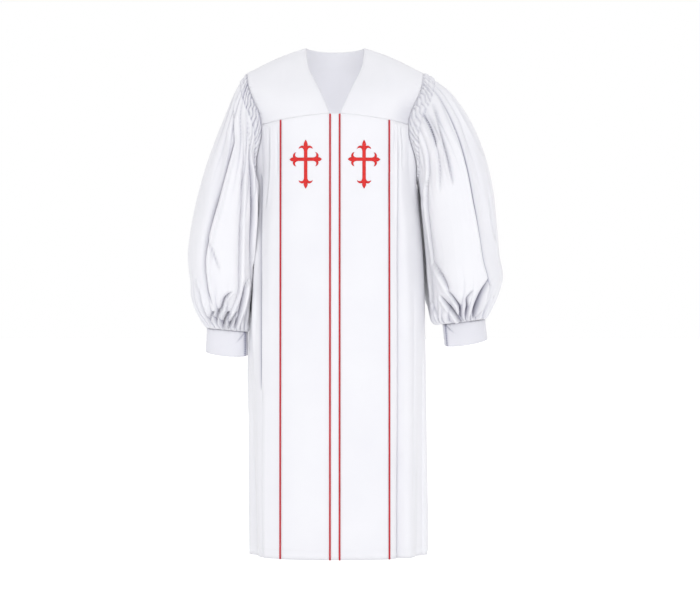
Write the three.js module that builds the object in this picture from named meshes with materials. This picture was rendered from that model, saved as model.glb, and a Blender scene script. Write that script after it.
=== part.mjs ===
// Pulpit robe: a full-length white worship gown that holds the shape of a wearer who isn't there.
// A yoke carries a zipped front, fluted sides and a fluted back. Full sleeves are gathered into the
// armholes and into flat cuffs. Four red pipings run down the front seams, and a cross lies on each front.
//
// Millimetres, +Z up. The front faces -Y and the wearer's left arm is on +X. The origin is where the
// wearer's shoulders carry the yoke, in the middle of the neck opening and a little below the neck points.
// Every piece is a wall of cloth: a grid of outer points, and the same grid moved in by the thickness.
import * as THREE from "three";

// Cloth
const CLOTH = 1.5; // thickness of one layer as sewn, with its seam allowance
const CUFF_CLOTH = 2.2; // a cuff is two layers
const SEAM = 0.4; // gap between two pieces at a seam
const LAY = 0.35; // gap under a trim that lies on a panel

// Heights and widths
const HEM_Z = -1336;
const NECK_POINT = { x: 77, z: 10 }; // where a shoulder seam meets the neckline
const BACK_NECK = { y: 60, z: 6 }; // middle of the back neckline
const PLACKET_HALF = 12.5; // half the width of the strip that covers the zip
const PANEL_EDGE = 142; // how far the outer pipings run from the middle
const V_BOTTOM_Z = -177; // bottom of the V neck, top of the placket
const BACK_SEAM_Z = -182; // back yoke seam at the middle
const SHOULDER_BULGE = 6; // how far the shoulder seam rises above a straight line

// Points that the front neckline passes on its way down from the neck point, and that the middle of the
// back yoke passes on its way down from the back neckline.
const NECKLINE_PASSES = [
  { x: 76, y: -22, z: -12 },
  { x: 70, y: -48, z: -48 },
  { x: 42, y: -92, z: -110 },
];
const BACK_YOKE_PASSES = [
  { x: 0, y: 92, z: -36 },
  { x: 0, y: 110, z: -100 },
];

// The body's horizontal sections: half widths on the wearer's right and left, depths to front and back.
const SQUARENESS = 2.5; // exponent of the section's superellipse
const BODY = [
  { z: -60, right: 214, left: 214, front: 106, back: 104 },
  { z: -202, right: 214, left: 214, front: 119, back: 118 },
  { z: -345, right: 208, left: 214, front: 125, back: 126 },
  { z: -450, right: 212, left: 227, front: 128, back: 131 },
  { z: -600, right: 221, left: 237, front: 131, back: 137 },
  { z: -800, right: 227, left: 240, front: 136, back: 145 },
  { z: -1100, right: 226, left: 240, front: 144, back: 156 },
  { z: -1336, right: 222, left: 240, front: 150, back: 164 },
];

// Each sleeve's sections, from the armhole to the cuff. at: distance down the sleeve's middle line.
// outX, outZ and inX, inZ: the section's outer and inner ends, seen from the front. front, back: half
// depths. dip: how far the front and back are drawn in towards the neck. lap, wrap: how far the sleeve
// laps the body's front and back.
const SLEEVES = {
  right: [
    { at: 0, outX: 234, outZ: -58, inX: 208, inZ: -345, front: 66, back: 66, dip: 28, lap: 0, wrap: 0 },
    { at: 26, outX: 247, outZ: -79, inX: 212, inZ: -351, front: 80, back: 78, dip: 22, lap: 3, wrap: 0 },
    { at: 60, outX: 268, outZ: -118, inX: 216, inZ: -362, front: 92, back: 90, dip: 12, lap: 8, wrap: 6 },
    { at: 110, outX: 291, outZ: -171, inX: 217, inZ: -385, front: 100, back: 100, dip: 4, lap: 16, wrap: 18 },
    { at: 180, outX: 319, outZ: -237, inX: 217, inZ: -420, front: 105, back: 108, dip: 0, lap: 20, wrap: 24 },
    { at: 260, outX: 346, outZ: -312, inX: 218, inZ: -462, front: 108, back: 114, dip: 0, lap: 22, wrap: 26 },
    { at: 345, outX: 369, outZ: -394, inX: 221, inZ: -510, front: 110, back: 118, dip: 0, lap: 22, wrap: 26 },
    { at: 430, outX: 386, outZ: -478, inX: 224, inZ: -560, front: 112, back: 120, dip: 0, lap: 22, wrap: 26 },
    { at: 500, outX: 393, outZ: -548, inX: 228, inZ: -605, front: 112, back: 118, dip: 0, lap: 20, wrap: 24 },
    { at: 565, outX: 387, outZ: -612, inX: 231, inZ: -648, front: 106, back: 110, dip: 0, lap: 16, wrap: 20 },
    { at: 620, outX: 384, outZ: -656, inX: 232, inZ: -684, front: 92, back: 94, dip: 0, lap: 8, wrap: 10 },
    { at: 665, outX: 371, outZ: -690, inX: 233, inZ: -714, front: 68, back: 70, dip: 0, lap: 0, wrap: 0 },
    { at: 698, outX: 351, outZ: -722, inX: 233, inZ: -736, front: 42, back: 44, dip: 0, lap: 0, wrap: 0 },
    { at: 716, outX: 342, outZ: -738, inX: 233, inZ: -748, front: 27, back: 29, dip: 0, lap: 0, wrap: 0 },
  ],
  left: [
    { at: 0, outX: 234, outZ: -58, inX: 214, inZ: -345, front: 66, back: 66, dip: 31, lap: 0, wrap: 0 },
    { at: 26, outX: 258, outZ: -72, inX: 219, inZ: -351, front: 82, back: 80, dip: 24, lap: 2, wrap: 0 },
    { at: 60, outX: 292, outZ: -99, inX: 225, inZ: -362, front: 96, back: 94, dip: 12, lap: 4, wrap: 6 },
    { at: 110, outX: 333, outZ: -147, inX: 230, inZ: -385, front: 106, back: 106, dip: 4, lap: 8, wrap: 18 },
    { at: 180, outX: 370, outZ: -208, inX: 234, inZ: -420, front: 114, back: 116, dip: 0, lap: 10, wrap: 26 },
    { at: 260, outX: 402, outZ: -290, inX: 238, inZ: -462, front: 118, back: 122, dip: 0, lap: 10, wrap: 30 },
    { at: 345, outX: 421, outZ: -372, inX: 242, inZ: -510, front: 120, back: 126, dip: 0, lap: 8, wrap: 32 },
    { at: 430, outX: 431, outZ: -460, inX: 245, inZ: -560, front: 121, back: 128, dip: 0, lap: 6, wrap: 34 },
    { at: 500, outX: 438, outZ: -541, inX: 247, inZ: -605, front: 120, back: 126, dip: 0, lap: 4, wrap: 34 },
    { at: 565, outX: 447, outZ: -600, inX: 250, inZ: -648, front: 114, back: 118, dip: 0, lap: 2, wrap: 30 },
    { at: 620, outX: 433, outZ: -650, inX: 252, inZ: -686, front: 100, back: 102, dip: 0, lap: 0, wrap: 16 },
    { at: 660, outX: 416, outZ: -683, inX: 256, inZ: -710, front: 76, back: 78, dip: 0, lap: 0, wrap: 0 },
    { at: 688, outX: 406, outZ: -702, inX: 266, inZ: -724, front: 48, back: 50, dip: 0, lap: 0, wrap: 0 },
    { at: 710, outX: 400, outZ: -714, inX: 286, inZ: -728, front: 27, back: 29, dip: 0, lap: 0, wrap: 0 },
  ],
};
const RING_POWER = 0.92; // below 1, a sleeve's sections are fuller than an ellipse
const LAP = { turn: 0.36, half: 0.09 }; // where round a sleeve its front lap lies
const SLEEVE_COLUMNS = 60;
const QUARTER = SLEEVE_COLUMNS / 4; // columns that meet each quarter of the armhole
const HEAD_GATHERS = SLEEVE_COLUMNS / 3; // gathers round an armhole
const CUFF_GATHERS = SLEEVE_COLUMNS / 4; // gathers round a cuff
const BODY_CLEARANCE = 4; // how far a hanging sleeve keeps from the body

// How high a sleeve's gathers stand, by distance from the armhole seam and from the cuff seam.
const HEAD_HEIGHTS = [
  { at: 0, high: 1 },
  { at: 26, high: 3.5 },
  { at: 50, high: 5.5 },
  { at: 110, high: 4 },
  { at: 200, high: 1.5 },
  { at: 320, high: 0 },
];
const CUFF_HEIGHTS = [
  { at: 0, high: 2 },
  { at: 20, high: 5.5 },
  { at: 50, high: 7 },
  { at: 95, high: 4 },
  { at: 150, high: 1 },
  { at: 200, high: 0 },
];

// Long folds of the sleeves. from, to: where the fold runs. start, middle, end: where it lies there, as a
// share of the way round from the outer edge over the front. deep: below the surface. half: half width.
const SLEEVE_FOLDS = {
  right: [
    { from: 60, to: 660, start: 0.19, middle: 0.2, end: 0.215, deep: 9, half: 13 },
    { from: 50, to: 690, start: 0.24, middle: 0.318, end: 0.27, deep: 7, half: 12 },
    { from: 50, to: 670, start: 0.27, middle: 0.378, end: 0.415, deep: 8, half: 12 },
    { from: 60, to: 650, start: 0.61, middle: 0.625, end: 0.6, deep: 8, half: 15 },
    { from: 50, to: 570, start: 0.8, middle: 0.742, end: 0.755, deep: 7, half: 14 },
    { from: 60, to: 650, start: 0.9, middle: 0.845, end: 0.865, deep: 9, half: 15 },
  ],
  left: [
    { from: 30, to: 620, start: 0.13, middle: 0.193, end: 0.157, deep: 9, half: 13 },
    { from: 40, to: 260, start: 0.18, middle: 0.24, end: 0.256, deep: 6, half: 12 },
    { from: 70, to: 560, start: 0.3, middle: 0.4, end: 0.41, deep: 6, half: 13 },
    { from: 60, to: 640, start: 0.68, middle: 0.605, end: 0.62, deep: 8, half: 15 },
    { from: 50, to: 600, start: 0.81, middle: 0.745, end: 0.74, deep: 8, half: 14 },
    { from: 50, to: 640, start: 0.9, middle: 0.875, end: 0.855, deep: 9, half: 15 },
  ],
};

// Flutes of the body. top, hem: degrees from the middle of the front, negative to the wearer's right.
// from, to: the heights between which it runs. high: how far it stands out, or in where negative.
const FLUTE_RUN = 3.3; // millimetres of cloth for each degree round the body
const FLUTE_START = 70; // how far below its seam a flute has opened
const FLUTES = [
  { top: -60, hem: -59, from: -430, to: -850, high: -7, half: 9 },
  { top: -47, hem: -50, from: -215, to: -1336, high: 3, half: 22 },
  { top: -70, hem: -71, from: -760, to: -1336, high: -9, half: 22 },
  { top: -82, hem: -84, from: -760, to: -1336, high: 7, half: 22 },
  { top: 41, hem: 40, from: -330, to: -1336, high: -11, half: 15 },
  { top: 49, hem: 49, from: -215, to: -1336, high: 5, half: 18 },
  { top: 66, hem: 65, from: -760, to: -1336, high: -8, half: 22 },
  { top: 82, hem: 80, from: -760, to: -1336, high: 7, half: 22 },
  { top: 100, hem: 99, from: -740, to: -1336, high: 12, half: 25 },
  { top: 120, hem: 117, from: -190, to: -1336, high: 14, half: 25 },
  { top: 136, hem: 134, from: -190, to: -1336, high: 16, half: 24 },
  { top: 153, hem: 152, from: -190, to: -1336, high: 13, half: 24 },
  { top: 170, hem: 170, from: -190, to: -1336, high: 15, half: 24 },
  { top: -100, hem: -101, from: -740, to: -1336, high: 11, half: 25 },
  { top: -119, hem: -118, from: -190, to: -1336, high: 15, half: 25 },
  { top: -137, hem: -136, from: -190, to: -1336, high: 13, half: 24 },
  { top: -154, hem: -153, from: -190, to: -1336, high: 16, half: 24 },
  { top: -171, hem: -170, from: -190, to: -1336, high: 14, half: 24 },
];
const SEAM_GATHER = 1.2; // how far a flute already stands out where it leaves the yoke

// Pipings
const PIPING = { halfWidth: 2.3, high: 2 };

// Crosses: a bar cross whose four ends open into a pointed bud between two curled leaves. The arms go
// round from the top. long: from the middle to the tip. bud: from the leaves to the tip.
const CROSS = { x: 76, z: -296, halfBar: 4.6, thick: 1.1, longestEdge: 16 };
const CROSS_ARMS = [
  { long: 51.5, bud: 16 },
  { long: 42.5, bud: 9 },
  { long: 77, bud: 14 },
  { long: 42.5, bud: 9 },
];

const vector = (x, y, z) => new THREE.Vector3(x, y, z);
const mix = THREE.MathUtils.lerp;
const ease = (share) => THREE.MathUtils.smoothstep(share, 0, 1);
const steps = (count) => Array.from({ length: count + 1 }, (_, i) => i / count);
const sideName = (side) => (side < 0 ? "right" : "left");

// A fixed, uneven number from 0 to 1 for each whole number.
function uneven(number) {
  const wave = Math.sin(number * 12.9898 + 4.1) * 43758.5453;
  return wave - Math.floor(wave);
}

// Reads one column of a table between its rows, on a smooth curve through them.
function read(table, by, column, at) {
  const falling = table[0][by] > table[table.length - 1][by];
  const key = (row) => (falling ? -row[by] : row[by]);
  const wanted = THREE.MathUtils.clamp(falling ? -at : at, key(table[0]), key(table[table.length - 1]));
  let i = 0;
  while (i < table.length - 2 && key(table[i + 1]) < wanted) i += 1;
  const slope = (k) => {
    const before = table[Math.max(k - 1, 0)];
    const after = table[Math.min(k + 1, table.length - 1)];
    return (after[column] - before[column]) / (key(after) - key(before));
  };
  const span = key(table[i + 1]) - key(table[i]);
  const t = (wanted - key(table[i])) / span;
  const rise = table[i + 1][column] - table[i][column];
  const hermite = t * t * (3 - 2 * t) * rise;
  const turnIn = t * (1 - t) * (1 - t) * slope(i) * span;
  const turnOut = t * t * (t - 1) * slope(i + 1) * span;
  return table[i][column] + hermite + turnIn + turnOut;
}

// ---- The body's surface ----

const halfWidth = (side, z) => read(BODY, "z", sideName(side), z);
const depthTo = (face, z) => read(BODY, "z", face > 0 ? "front" : "back", z);

// The point of the plain body at an angle round from the middle of the front, positive to the wearer's left.
function bodyPoint(angle, z) {
  const sine = Math.sin(angle);
  const cosine = Math.cos(angle);
  const power = 2 / SQUARENESS;
  const x = halfWidth(sine, z) * Math.sign(sine) * Math.abs(sine) ** power;
  const y = -depthTo(cosine, z) * Math.sign(cosine) * Math.abs(cosine) ** power;
  return vector(x, y, z);
}

// The angle at which one side of the body has a point, in front or behind.
function bodyAngle(side, { x, y, z }) {
  const across = Math.abs(x / halfWidth(side, z)) ** (SQUARENESS / 2);
  const deep = Math.abs(y / depthTo(-y, z)) ** (SQUARENESS / 2);
  return side * Math.atan2(across, y > 0 ? -deep : deep);
}

// The angle of the line down one side of the body at a fixed distance from the middle of the front or back.
function lineAngle(side, distance, face, z) {
  const angle = Math.asin(Math.min(1, (distance / halfWidth(side, z)) ** (SQUARENESS / 2)));
  return side * (face > 0 ? angle : Math.PI - angle);
}

// The level direction straight out of the body.
function bodyNormal(angle, z) {
  const p = bodyPoint(angle, z);
  const pull = (v, size) => (Math.sign(v) * Math.abs(v / size) ** (SQUARENESS - 1)) / size;
  return vector(pull(p.x, halfWidth(p.x, z)), pull(p.y, depthTo(-p.y, z)), 0).normalize();
}

// How far the flutes move the cloth out at a place on the body. top: the height where the cloth is sewn on.
function fluting(angle, z, top) {
  const degrees = THREE.MathUtils.radToDeg(angle);
  let out = 0;
  for (const { top, hem, from, to, high, half } of FLUTES) {
    const down = (from - z) / (from - to);
    if (down <= 0 || down > 1) continue;
    const along = mix(top, hem, ease(down));
    let away = Math.abs(degrees - along);
    away = Math.min(away, 360 - away) * FLUTE_RUN;
    const fades = to > HEM_Z ? Math.sin(Math.PI * down) : Math.min(1, 0.12 + down ** 0.8);
    out += high * fades * Math.exp(-((away / half) ** 2));
  }
  return out * THREE.MathUtils.clamp((top - z) / FLUTE_START, 0, 1);
}

// ---- Edges that several pieces share ----

// A sleeve's ring at a distance down the sleeve. turn: 0 outside or on top, 0.25 in front, 0.5 inside,
// 0.75 behind.
function ringPoint(side, at, turn) {
  const table = SLEEVES[sideName(side)];
  const size = (column) => read(table, "at", column, at);
  const angle = turn * 2 * Math.PI;
  const cosine = Math.cos(angle);
  const sine = Math.sin(angle);
  const share = (Math.sign(cosine) * Math.abs(cosine) ** RING_POWER + 1) / 2;
  const deep = Math.sign(sine) * Math.abs(sine) ** RING_POWER * size(sine > 0 ? "front" : "back");
  const bell = (away) => Math.exp(-((away / LAP.half) ** 2));
  const lapped = size("lap") * bell(turn - LAP.turn) + size("wrap") * bell(turn - 1 + LAP.turn);
  const x = mix(size("inX"), size("outX"), share) - size("dip") * sine ** 8 - lapped;
  return vector(side * x, -deep, mix(size("inZ"), size("outZ"), share));
}

// The armhole, all round: the edge of the yokes and of the side and back panels.
const armhole = (side, turn) => ringPoint(side, 0, turn);

// The yoke's seam, front or back, at a share of the way from the middle to the armhole.
function yokeSeam(side, face, share) {
  const corner = armhole(side, face > 0 ? 0.25 : 0.75);
  const cornerX = Math.abs(corner.x);
  const startX = face > 0 ? PLACKET_HALF : 0;
  const x = mix(startX, cornerX, share);
  const z = mix(face > 0 ? V_BOTTOM_Z : BACK_SEAM_Z, corner.z, share ** 1.5);
  const plain = bodyPoint(lineAngle(side, x, face, z), z);
  const cornerPlain = bodyPoint(lineAngle(side, cornerX, face, corner.z), corner.z);
  plain.y += (corner.y - cornerPlain.y) * share ** 6;
  return plain;
}

// The shoulder seam from the neck point to the top of the armhole.
function shoulderSeam(side, share) {
  const top = armhole(side, 0);
  const z = mix(NECK_POINT.z, top.z, share) + SHOULDER_BULGE * Math.sin(Math.PI * share);
  return vector(side * mix(NECK_POINT.x, Math.abs(top.x), share), 0, z);
}

// The front neckline from the neck point round the side of the neck and down to the V's bottom.
function frontNeckline(side, share) {
  const line = new THREE.CatmullRomCurve3([
    vector(side * NECK_POINT.x, 0, NECK_POINT.z),
    ...NECKLINE_PASSES.map(({ x, y, z }) => vector(side * x, y, z)),
    yokeSeam(side, 1, 0),
  ]);
  return line.getPoint(share);
}

// The back neckline from its middle to the neck point.
function backNeckline(side, share) {
  const angle = (share * Math.PI) / 2;
  const z = mix(NECK_POINT.z, BACK_NECK.z, Math.cos(angle) ** 2);
  return vector(side * NECK_POINT.x * Math.sin(angle), BACK_NECK.y * Math.cos(angle), z);
}

// The middle of the back yoke, from the neckline down to the seam.
function backMiddle(share) {
  const line = new THREE.CatmullRomCurve3([
    vector(0, BACK_NECK.y, BACK_NECK.z),
    ...BACK_YOKE_PASSES.map(({ x, y, z }) => vector(x, y, z)),
    yokeSeam(1, -1, 0),
  ]);
  return line.getPoint(share);
}

// ---- Walls ----

// Pulls a grid's edges in by a few tenths, along the surface, so that sewn pieces don't touch.
function parted(grid, { top = 0, bottom = 0, start = 0, end = 0 }) {
  const pull = (from, towards, by) => from.clone().add(towards.clone().sub(from).setLength(by));
  const last = grid.length - 1;
  let made = grid.map((row) => row.map((p) => p.clone()));
  if (top) made[0] = made[0].map((p, j) => pull(p, made[1][j], top));
  if (bottom) made[last] = made[last].map((p, j) => pull(p, made[last - 1][j], bottom));
  made = made.map((row) => {
    const c = row.length - 1;
    const edged = [...row];
    if (start) edged[0] = pull(row[0], row[1], start);
    if (end) edged[c] = pull(row[c], row[c - 1], end);
    return edged;
  });
  return made;
}

// The direction out of a grid of points at one of them. facing: 1, or -1 where the columns run the other
// way round.
function gridNormal(grid, i, j, closed, facing) {
  const last = grid[0].length - 1;
  const down = grid[Math.min(i + 1, grid.length - 1)][j].clone().sub(grid[Math.max(i - 1, 0)][j]);
  const next = closed ? (j + 1) % (last + 1) : Math.min(j + 1, last);
  const before = closed ? (j + last) % (last + 1) : Math.max(j - 1, 0);
  const along = grid[i][next].clone().sub(grid[i][before]);
  return down.cross(along).multiplyScalar(facing).normalize();
}

// A closed wall of cloth from a grid of outer points: rows from top to bottom, columns along them.
// closed: the columns go all round. edge(i, j, normal) may turn the direction in which an edge is thickened.
function wall(grid, { thick = CLOTH, closed = false, facing = 1, edge } = {}) {
  const rows = grid.length;
  const columns = grid[0].length;
  const positions = [];
  const inner = [];
  grid.forEach((row, i) =>
    row.forEach((p, j) => {
      let normal = gridNormal(grid, i, j, closed, facing);
      if (edge) normal = edge(i, j, normal) || normal;
      positions.push(p.x, p.y, p.z);
      inner.push(...p.clone().addScaledVector(normal, -thick).toArray());
    }),
  );
  positions.push(...inner);

  const index = [];
  const face = (a, b, c) => (facing > 0 ? index.push(a, b, c) : index.push(a, c, b));
  const out = (i, j) => i * columns + (j % columns);
  const within = (i, j) => rows * columns + out(i, j);
  const quad = (a, b, c, d) => {
    face(a, b, c);
    face(a, c, d);
  };
  const cells = closed ? columns : columns - 1;
  for (let i = 0; i < rows - 1; i += 1) {
    for (let j = 0; j < cells; j += 1) {
      quad(out(i, j), out(i + 1, j), out(i + 1, j + 1), out(i, j + 1));
      quad(within(i, j), within(i, j + 1), within(i + 1, j + 1), within(i + 1, j));
    }
  }
  for (let j = 0; j < cells; j += 1) {
    quad(out(0, j), out(0, j + 1), within(0, j + 1), within(0, j));
    quad(out(rows - 1, j + 1), out(rows - 1, j), within(rows - 1, j), within(rows - 1, j + 1));
  }
  if (!closed) {
    const end = columns - 1;
    for (let i = 0; i < rows - 1; i += 1) {
      quad(out(i + 1, 0), out(i, 0), within(i, 0), within(i + 1, 0));
      quad(out(i, end), out(i + 1, end), within(i + 1, end), within(i, end));
    }
  }
  return new THREE.BufferGeometry()
    .setAttribute("position", new THREE.Float32BufferAttribute(positions, 3))
    .setIndex(index);
}

// ---- Yoke ----

// A patch whose four edges are given curves.
function coons(u, v, { top, bottom, start, end }) {
  const p = top(u).multiplyScalar(1 - v).addScaledVector(bottom(u), v);
  p.addScaledVector(start(v), 1 - u).addScaledVector(end(v), u);
  p.addScaledVector(top(0), -(1 - u) * (1 - v)).addScaledVector(top(1), -u * (1 - v));
  return p.addScaledVector(bottom(0), -(1 - u) * v).addScaledVector(bottom(1), -u * v);
}

// Turns a yoke's thickening upright over the shoulder seam and level at the yoke's lower seam.
function yokeEdge(i, j, normal) {
  if (i === 0) return normal.setY(0).normalize();
  if (i === QUARTER) return normal.setZ(0).normalize();
  return normal;
}

function yokeFront(side) {
  const edges = {
    top: (u) => shoulderSeam(side, u),
    bottom: (u) => yokeSeam(side, 1, u),
    start: (v) => frontNeckline(side, v),
    end: (v) => armhole(side, v / 4),
  };
  const grid = steps(QUARTER).map((v) => steps(6).map((u) => coons(u, v, edges)));
  return wall(parted(grid, { top: SEAM / 2, bottom: SEAM / 2 }), { facing: side, edge: yokeEdge });
}

function yokeBack() {
  const neckShare = 0.4; // of each half's columns, those under the neckline
  const half = (side) => ({
    top: (u) => {
      if (u < neckShare) return backNeckline(side, u / neckShare);
      return shoulderSeam(side, (u - neckShare) / (1 - neckShare));
    },
    bottom: (u) => yokeSeam(side, -1, u),
    start: (v) => backMiddle(v),
    end: (v) => armhole(side, 1 - v / 4),
  });
  const across = steps(12).map((share) => share * 2 - 1);
  const neckColumns = (j) => j > 3 && j < 9;
  const grid = steps(QUARTER).map((v) =>
    across.map((u) => coons(Math.abs(u), v, half(Math.sign(u) || 1))),
  );
  const edge = (i, j, normal) => (i === 0 && neckColumns(j) ? normal : yokeEdge(i, j, normal));
  return wall(parted(grid, { top: SEAM / 2, bottom: SEAM / 2 }), { facing: -1, edge });
}

// ---- Body panels ----

const PANEL_ROWS = steps(11).map((share) => share ** 1.15);
const PANEL_JOINS = 0.12; // share of a panel's height in which it comes from its seam to the body's section
const GATHER_FADES = 0.2; // share of a panel's height in which the gathers under the yoke fade

// Turns a panel's thickening level at its top, and straight into the body along its two upright seams.
function panelEdge(side, grid) {
  return (i, j, normal) => {
    if (j > 0 && j < grid[i].length - 1) return i > 0 ? normal : normal.setZ(0).normalize();
    const p = grid[i][j];
    return bodyNormal(bodyAngle(side, p), p.z);
  };
}

// A piece of the front: the outer surface at some distances from the middle, from the yoke to the hem.
function frontPoint(side, distance, down) {
  const corner = Math.abs(armhole(side, 0.25).x);
  const across = Math.max(0, (distance - PLACKET_HALF) / (corner - PLACKET_HALF));
  const top = yokeSeam(side, 1, across).z;
  const z = mix(top, HEM_Z, down);
  const angle = lineAngle(side, distance, 1, z);
  return bodyPoint(angle, z).addScaledVector(bodyNormal(angle, z), fluting(angle, z, top));
}

function placket() {
  const across = [-1, 0, 1].map((share) => ({ side: share || 1, distance: Math.abs(share) * PLACKET_HALF }));
  const grid = PANEL_ROWS.map((down) => across.map(({ side, distance }) => frontPoint(side, distance, down)));
  return wall(parted(grid, { start: SEAM / 2, end: SEAM / 2 }), { edge: panelEdge(1, grid) });
}

function frontPanel(side) {
  const across = steps(6).map((share) => mix(PLACKET_HALF, PANEL_EDGE, share));
  const grid = PANEL_ROWS.map((down) => across.map((distance) => frontPoint(side, distance, down)));
  const seams = { top: SEAM / 2, start: SEAM / 2, end: SEAM / 2 };
  return wall(parted(grid, seams), { facing: side, edge: panelEdge(side, grid) });
}

// A panel that hangs from a stretch of the yoke's seam and from a quarter of the armhole, down to the hem.
// face: 1 in front, -1 behind. inner: where its inner seam runs. yokeColumns: how many columns hang from
// the yoke.
function sidePanel({ side, face, inner, yokeColumns }) {
  const corner = Math.abs(armhole(side, 0.25).x);
  const seamStart = face > 0 ? PLACKET_HALF : 0;
  const innerShare = (inner - seamStart) / (corner - seamStart);
  const underYoke = steps(yokeColumns).map((share) => yokeSeam(side, face, mix(innerShare, 1, share)));
  const underArm = steps(QUARTER).map((share) => armhole(side, 0.5 - (face * (1 - share)) / 4));
  const tops = [...underYoke, ...underArm.slice(1)];
  const sideAngle = (side * Math.PI) / 2;
  const grid = PANEL_ROWS.map((down) =>
    tops.map((top, j) => {
      const z = mix(top.z, HEM_Z, down);
      const last = j === tops.length - 1;
      const topAngle = last ? sideAngle : bodyAngle(side, top);
      const topInner = lineAngle(side, inner, face, top.z);
      const topShare = (topAngle - topInner) / (sideAngle - topInner);
      const share = mix(topShare, j / (tops.length - 1), ease(down));
      const angle = mix(lineAngle(side, inner, face, z), sideAngle, share);
      const offset = top.clone().sub(bodyPoint(topAngle, top.z));
      const p = bodyPoint(angle, z).addScaledVector(offset, 1 - ease(down / PANEL_JOINS));
      const gathers = j > 0 && j <= yokeColumns;
      const gathered = gathers ? SEAM_GATHER * (j % 2) * (1 - ease(down / GATHER_FADES)) : 0;
      return p.addScaledVector(bodyNormal(angle, z), fluting(angle, z, top.z) + gathered);
    }),
  );
  const seams = { top: SEAM / 2, start: SEAM / 2, end: SEAM / 2 };
  return wall(parted(grid, seams), { facing: side * face, edge: panelEdge(side, grid) });
}

const frontSide = (side) => sidePanel({ side, face: 1, inner: PANEL_EDGE, yokeColumns: 4 });
const backHalf = (side) => sidePanel({ side, face: -1, inner: 0, yokeColumns: 12 });

// ---- Sleeves ----

// Moves a point of a sleeve out of the body, and clear of it.
function clearOfBody(side, p, clearance) {
  const flute = Math.max(0, fluting(bodyAngle(side, p), p.z, V_BOTTOM_Z));
  const half = halfWidth(side, p.z) + clearance + flute;
  const depth = depthTo(-p.y, p.z) + clearance + flute;
  const level = Math.abs(p.x / half) ** SQUARENESS + Math.abs(p.y / depth) ** SQUARENESS;
  if (level < 1) {
    const grow = level ** (-1 / SQUARENESS);
    p.x *= grow;
    p.y *= grow;
  }
  return p;
}

// The depth of the long folds at a place on a sleeve. girth: millimetres round the ring.
function longFolds(side, at, turn, girth) {
  let deep = 0;
  for (const fold of SLEEVE_FOLDS[sideName(side)]) {
    const along = (at - fold.from) / (fold.to - fold.from);
    if (along <= 0 || along >= 1) continue;
    const early = mix(fold.start, fold.middle, Math.min(1, along * 2));
    const where = along < 0.5 ? early : mix(fold.middle, fold.end, along * 2 - 1);
    let away = Math.abs(turn - where);
    away = Math.min(away, 1 - away) * girth;
    deep += fold.deep * Math.sin(Math.PI * along) ** 0.6 * Math.exp(-((away / fold.half) ** 2));
  }
  return deep;
}

// How far the gathers and folds move a sleeve's cloth out of its plain ring.
function sleeveRelief(side, at, turn, girth) {
  const length = SLEEVES[sideName(side)].at(-1).at;
  const wave = (count) => Math.cos(2 * Math.PI * count * turn);
  const which = (count) => Math.round(turn * count) % count;
  const head = which(HEAD_GATHERS);
  const headReach = 0.75 + 0.6 * uneven(head + side * 3);
  const headHigh = read(HEAD_HEIGHTS, "at", "high", at / headReach);
  const cuff = which(CUFF_GATHERS);
  const cuffReach = 0.7 + 0.7 * uneven(cuff + 40 + side * 5);
  const cuffHigh = read(CUFF_HEIGHTS, "at", "high", (length - at) / cuffReach);
  const headWave = (wave(HEAD_GATHERS) + 0.5) / 1.5;
  return headHigh * headWave + cuffHigh * wave(CUFF_GATHERS) - longFolds(side, at, turn, girth);
}

// The direction in which a sleeve leaves the plane of one of its rings, towards the cuff.
function ringAxis(side, at) {
  const inward = ringPoint(side, at, 0.5).sub(ringPoint(side, at, 0));
  return inward.cross(vector(0, side, 0)).normalize();
}

// Turns a direction into the plane of a ring.
const acrossRing = (direction, axis) => direction.addScaledVector(axis, -direction.dot(axis)).normalize();

function sleevePoint(side, at, turn) {
  const length = SLEEVES[sideName(side)].at(-1).at;
  const nearby = 0.004;
  const along = ringPoint(side, at, turn + nearby).sub(ringPoint(side, at, turn - nearby));
  const next = ringPoint(side, at + 2, turn).sub(ringPoint(side, at - 2, turn));
  const girth = along.length() / (2 * nearby);
  const outward = next.cross(along).multiplyScalar(-side).normalize();
  const axis = ringAxis(side, at);
  if (at === 0 || at === length) acrossRing(outward, axis);
  const p = ringPoint(side, at, turn).addScaledVector(outward, sleeveRelief(side, at, turn, girth));
  if (at < length) p.addScaledVector(ringAxis(side, 0), SEAM);
  return at > 0 ? clearOfBody(side, p, BODY_CLEARANCE) : p;
}

function sleeve(side) {
  const table = SLEEVES[sideName(side)];
  const turns = steps(SLEEVE_COLUMNS).slice(0, -1);
  const grid = table.map(({ at }) => turns.map((turn) => sleevePoint(side, at, turn)));
  const edge = (i, j, normal) => {
    const atEnd = i === 0 || i === table.length - 1;
    return atEnd ? acrossRing(normal, ringAxis(side, table[i].at)) : normal;
  };
  return wall(grid, { closed: true, facing: -side, edge });
}

// ---- Cuffs ----

// The lower edge of each cuff, seen from the front. dip: how far it hangs lower in front than at the ends.
const CUFF_ENDS = {
  right: { outX: 346, outZ: -799, inX: 233, inZ: -809, front: 28, back: 30, dip: 8 },
  left: { outX: 406, outZ: -766, inX: 291, inZ: -783, front: 28, back: 30, dip: 8 },
};
const CUFF_COLUMNS = 30;

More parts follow.
